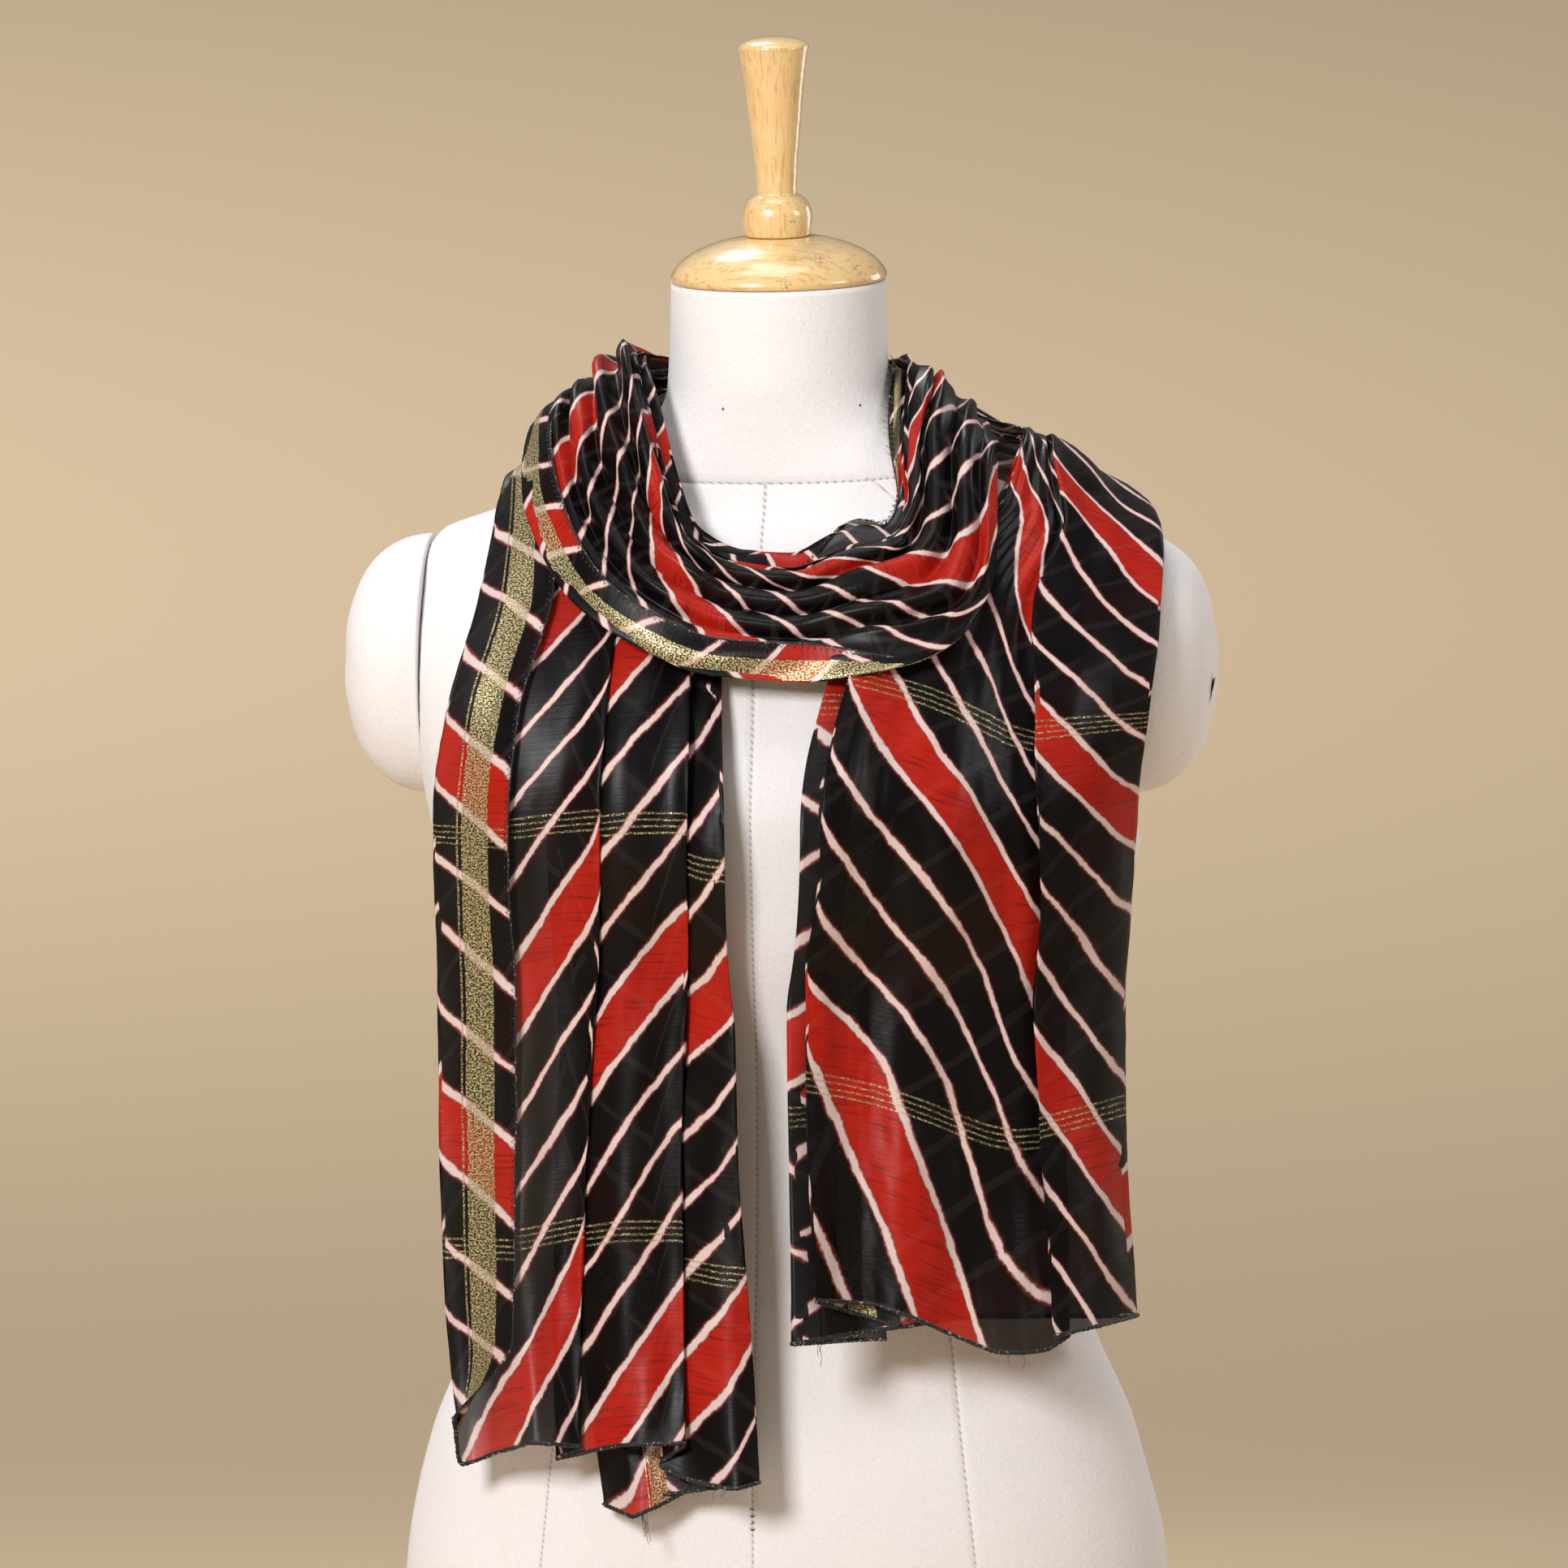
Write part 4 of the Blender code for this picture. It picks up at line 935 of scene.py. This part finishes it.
def dyed_silk():
    """Sheer plain-woven silk, tied and dyed: slanting bands, pale lines with bled edges,
    gold thread in the borders with painted glints.  A soft sheen on the folds, see-through
    where single."""
    material, node, shader = new_material("tie_dyed_silk", Sheen_Weight=0.01,
                                          Sheen_Roughness=0.3, Specular_IOR_Level=0.17)
    cloth = node("UVMap", uv_map="cloth")
    u = node("SeparateXYZ", (cloth,), out=0)
    v = node("SeparateXYZ", (cloth,), out=1)
    place = node("SeparateXYZ", (node("UVMap", uv_map="dye"),), out=0)
    # the metal strip's speckle, painted glints and a bump on the gold, is 0.3 mm wide;
    # drawn at 1 mm so that it shows
    wobble, ragged, tightness, uneven, speckle = [
        node("TexNoise", {"Vector": cloth, "Scale": scale, "Detail": detail})
        for scale, detail in ((75.0, 2.0), (420.0, 2.0), (28.0, 1.0), (30.0, 4.0),
                              (1100.0, 3.0))]
    # single slubbed threads are 0.3 mm thick; drawn at 1.5 mm so that they show.  The
    # cross lines wink in short dashes of painted glint, where the metal turns its face
    slub, painted_glint_dashes = [node("Mapping", {"Vector": cloth, "Scale": stretch})
                    for stretch in ((34, 640, 1), (330, 900, 1))]
    slub = node("TexNoise", {"Vector": slub, "Scale": 1.0, "Detail": 2.0})
    painted_glint_dashes = node("TexNoise", {"Vector": painted_glint_dashes, "Scale": 1.0, "Detail": 1.0})

    # the band that a place lies in, and how far it is from the nearest tied line, m
    wobble = node("Math", (wobble, 0.13, -0.065), operation="MULTIPLY_ADD")
    place = node("Math", (wobble, place), operation="ADD")
    inside = node("Math", (place,), operation="FRACT")
    gap = node("Math", (inside, 0.5), operation="SUBTRACT")
    gap = node("Math", (gap,), operation="ABSOLUTE")
    gap = node("Math", (gap, -DYE_BAND, DYE_BAND / 2), operation="MULTIPLY_ADD")
    gap = node("Math", (gap, 0.0010), operation="SUBTRACT")
    gap = node("Math", (ragged, 0.0020, gap), operation="MULTIPLY_ADD")
    half = node("Math", (tightness, 0.0030, TIED_WIDE / 2 - 0.0015), operation="MULTIPLY_ADD")
    beyond = node("Math", (gap, half), operation="SUBTRACT")
    tied = node("MapRange", (beyond, -0.0009, 0.0007, 1.0, 0.0), interpolation_type="SMOOTHSTEP")
    bled = node("MapRange", (beyond, -0.0004, 0.0024, 0.8, 0.0), interpolation_type="SMOOTHSTEP")
    fifth = node("Math", (place, 0.2), operation="MULTIPLY")
    fifth = node("Math", (fifth,), operation="FRACT")
    red = node("Math", (fifth, 0.2), operation="LESS_THAN")

    black = node("Mix", {0: uneven, 6: linear("#060505"), 7: linear("#0E0909")},
                 out=2, data_type="RGBA")
    reds = node("Mix", {0: uneven, 6: linear("#A2170F"), 7: linear("#C02716")},
                out=2, data_type="RGBA")
    dark_slub = node("MapRange", (slub, 0.52, 0.74, 0.0, 0.8))
    reds = node("Mix", {0: dark_slub, 6: reds, 7: linear("#6A0F10")}, out=2, data_type="RGBA")
    ground = node("Mix", {0: red, 6: black, 7: reds}, out=2, data_type="RGBA")
    ground = node("Mix", {0: bled, 6: ground, 7: linear("#8E3530")}, out=2, data_type="RGBA")
    pale = node("Mix", {0: uneven, 6: linear("#EADBD7"), 7: linear("#D3B5B0")},
                out=2, data_type="RGBA")
    ground = node("Mix", {0: tied, 6: ground, 7: pale}, out=2, data_type="RGBA")

    # gold thread: a band and a line along each selvedge, four lines in each cross group
    other = node("Math", (STOLE_WIDE, u), operation="SUBTRACT")
    edge = node("Math", (u, other), operation="MINIMUM")
    other = node("Math", (STOLE_LONG, v), operation="SUBTRACT")
    end = node("Math", (v, other), operation="MINIMUM")
    golden = 0.0
    for low, high in (GOLD_BAND, GOLD_LINE):
        off = node("Math", (edge, (low + high) / 2), operation="SUBTRACT")
        off = node("Math", (off,), operation="ABSOLUTE")
        half = (high - low) / 2
        strip = node("MapRange", (off, half - 0.0002, half + 0.0002, 1.0, 0.0))
        golden = node("Math", (golden, strip), operation="MAXIMUM")
    band_gold = golden
    painted_glint_dashes = node("MapRange", (painted_glint_dashes, 0.42, 0.56, 0.25))
    for group in CROSS_GROUPS:
        for line in range(4):
            off = node("Math", (end, group + CROSS_STEP * line), operation="SUBTRACT")
            off = node("Math", (off,), operation="ABSOLUTE")
            strip = node("MapRange", (off, 0.0004, 0.0007, 1.0, 0.0))
            strip = node("Math", (strip, painted_glint_dashes), operation="MULTIPLY")
            golden = node("Math", (golden, strip), operation="MAXIMUM")
    # painted glints: the gold thread's colour goes from dark olive to pale, and covers more of
    # the ground, where the speckle is high
    painted_glint = node("MapRange", (speckle, 0.43, 0.60))
    gold = node("Mix", {0: painted_glint, 6: linear("#463919"), 7: linear("#EBDCA8")},
                out=2, data_type="RGBA")
    share = node("Math", (painted_glint, 0.30, 0.50), operation="MULTIPLY_ADD")
    share = node("Math", (golden, share), operation="MULTIPLY")
    colour = node("Mix", {0: share, 6: ground, 7: gold}, out=2, data_type="RGBA")
    metal = node("Math", (share, 0.5), operation="MULTIPLY")
    rough = node("Math", (slub, 0.16, 0.29), operation="MULTIPLY_ADD")
    alpha = node("Math", (golden, 0.08, 0.892), operation="MULTIPLY_ADD")
    alpha = node("Math", (tied, 0.02, alpha), operation="MULTIPLY_ADD")
    weave = node("Math", (speckle, band_gold, slub), operation="MULTIPLY_ADD")
    bump = node("Bump", {"Height": weave, "Strength": 0.5, "Distance": 0.0002})
    feed(shader, Base_Color=colour, Metallic=metal, Roughness=rough, Alpha=alpha, Normal=bump)
    return material


stole = surface_mesh("stole_cloth", dyed_silk(), stole_points, False, uvs={
    "cloth": np.stack([stole_u, stole_v], -1),
    "dye": np.stack([dye_place(stole_u, stole_v), stole_u], -1)})
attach(stole, "root")
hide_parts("stole")

# ------------------------------------------------------- hems, overlocking, loose ends
# Both short ends are rolled and overlocked with black thread, which shows as a fine cord
# with pale flecks.  Both selvedges are zigzagged with the same thread.
HEM_THICK = 0.0011
ZIGZAG_STEP = 0.0017             # along the edge, from one turn of the thread to the next
ZIGZAG_WIDE = 0.0030


def even(path, step, *others):
    """A path's points spaced evenly at about that step along it, and any other arrays
    given at the path's points, at the same places."""
    far = np.concatenate([[0], np.cumsum(np.linalg.norm(np.diff(path, axis=0), axis=1))])
    at = np.linspace(0, far[-1], int(far[-1] / step) + 1)
    return [np.stack([np.interp(at, far, column) for column in part.T], -1)
            for part in (path, *others)] + [at]


thread, node, shader = new_material("spun_polyester_thread", Roughness=0.6,
                                    Sheen_Weight=0.2, Sheen_Roughness=0.4)
flecks = node("TexNoise", {"Vector": node("TexCoord", out=3), "Scale": 620.0, "Detail": 1.0})
flecks = node("MapRange", (flecks, 0.62, 0.70, 0.0, 0.7))
feed(shader, Base_Color=node("Mix", {0: flecks, 6: linear("#0B0A0A"), 7: linear("#A79A98")},
                             out=2, data_type="RGBA"))
stole_normal = grid_normals(stole_points)
hems = []
for row in (0, -1):
    path, facing, at = even(stole_points[row], 0.0007, stole_normal[row])
    beads = HEM_THICK * (1 + 0.16 * np.sin(2 * pi * at / 0.0026)
                         + 0.10 * relief(at, 0 * at, waves(51, 5, 0.006, 0.02, 0.1)))
    hems.append(swept(path, beads, 8, unit(facing)))
hem = surface_mesh("rolled_hems", thread, hems)

zigzags = []
for column, inner in ((0, 1), (-1, -2)):
    edge_path, facing, turn_in, at = even(stole_points[:, column], ZIGZAG_STEP,
                                          stole_normal[:, column],
                                          stole_points[:, inner])
    inward = unit(turn_in - edge_path)
    side = (np.arange(len(at)) % 2)[:, None]
    for face in (1, -1):
        path = (edge_path - 0.0003 * inward + side * ZIGZAG_WIDE * inward
                + 0.00035 * face * unit(facing))
        zigzags.append(swept(path, 0.00022, 4, unit(facing)))
    zigzags.append(swept(edge_path, 0.00050, 6, unit(facing)))
zigzag = surface_mesh("selvedge_overlocking", thread, zigzags)


def loose_thread(start, heading, length, curl, seed):
    """A hanging end: from its start it leaves along its heading, bends down under its own
    weight, and curls sideways by sums of two sines."""
    draw = np.random.default_rng(seed)
    t = np.linspace(0, 1, 26)[:, None]
    phase = draw.random(4) * 2 * pi
    aside = np.array([1.0, -0.35, 0]) * np.sin(5.2 * t + phase[0]) + np.array(
        [0.2, -0.5, 0.5]) * np.sin(8.5 * t + phase[1])
    return (start + np.array(heading) * length * t * (1 - 0.45 * t)
            + np.array([0, 0, -0.5]) * length * t**2 + curl * (aside - aside[0]) * t**0.7)


# the weave has frayed here: end row, share of the way across, how many threads, length
frayed = []
draw = np.random.default_rng(61)
for row, share, count, length in ((0, 0.84, 7, 0.013), (0, 0.50, 3, 0.006),
                                  (-1, 0.93, 3, 0.010), (-1, 0.42, 2, 0.007)):
    for i in range(count):
        column = int((share + 0.02 * (draw.random() - 0.5)) * stole_points.shape[1])
        start = stole_points[row, column]
        heading = (0.8 * (draw.random() - 0.5), -0.25, -0.6)
        frayed.append(swept(loose_thread(start, heading, length * (0.5 + draw.random()),
                                         0.0014 * draw.random(), i + 10 * count),
                            0.00013, 5))
fray = surface_mesh("frayed_ends", thread, frayed)

# the gold weft has pulled into small loops along the far selvedge beside the neck
loops = []
beside_neck = int(np.argmin(abs(stole_along - 0.795)))
for i in range(14):
    row = beside_neck + i + int(3 * draw.random())
    start = stole_points[row, -1]
    outward = unit(stole_points[row, -1] - stole_points[row, -3])
    t = np.linspace(0, 1, 16)[:, None]
    reach = 0.0022 + 0.0030 * draw.random()
    loops.append(swept(start + outward * reach * np.sin(pi * t) ** 0.7
                       + np.array([0, -0.0010, 0.0016]) * (t - 0.5)
                       + stole_normal[row, -1] * 0.0006 * np.sin(2 * pi * t), 0.00012, 5))
material, node, shader = new_material("gold_wrapped_thread", Base_Color=linear("#B79A54"),
                                      Metallic=0.8, Roughness=0.35)
loop = surface_mesh("pulled_gold_loops", material, loops)
for piece in (hem, zigzag, fray, loop):
    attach(piece, "root")
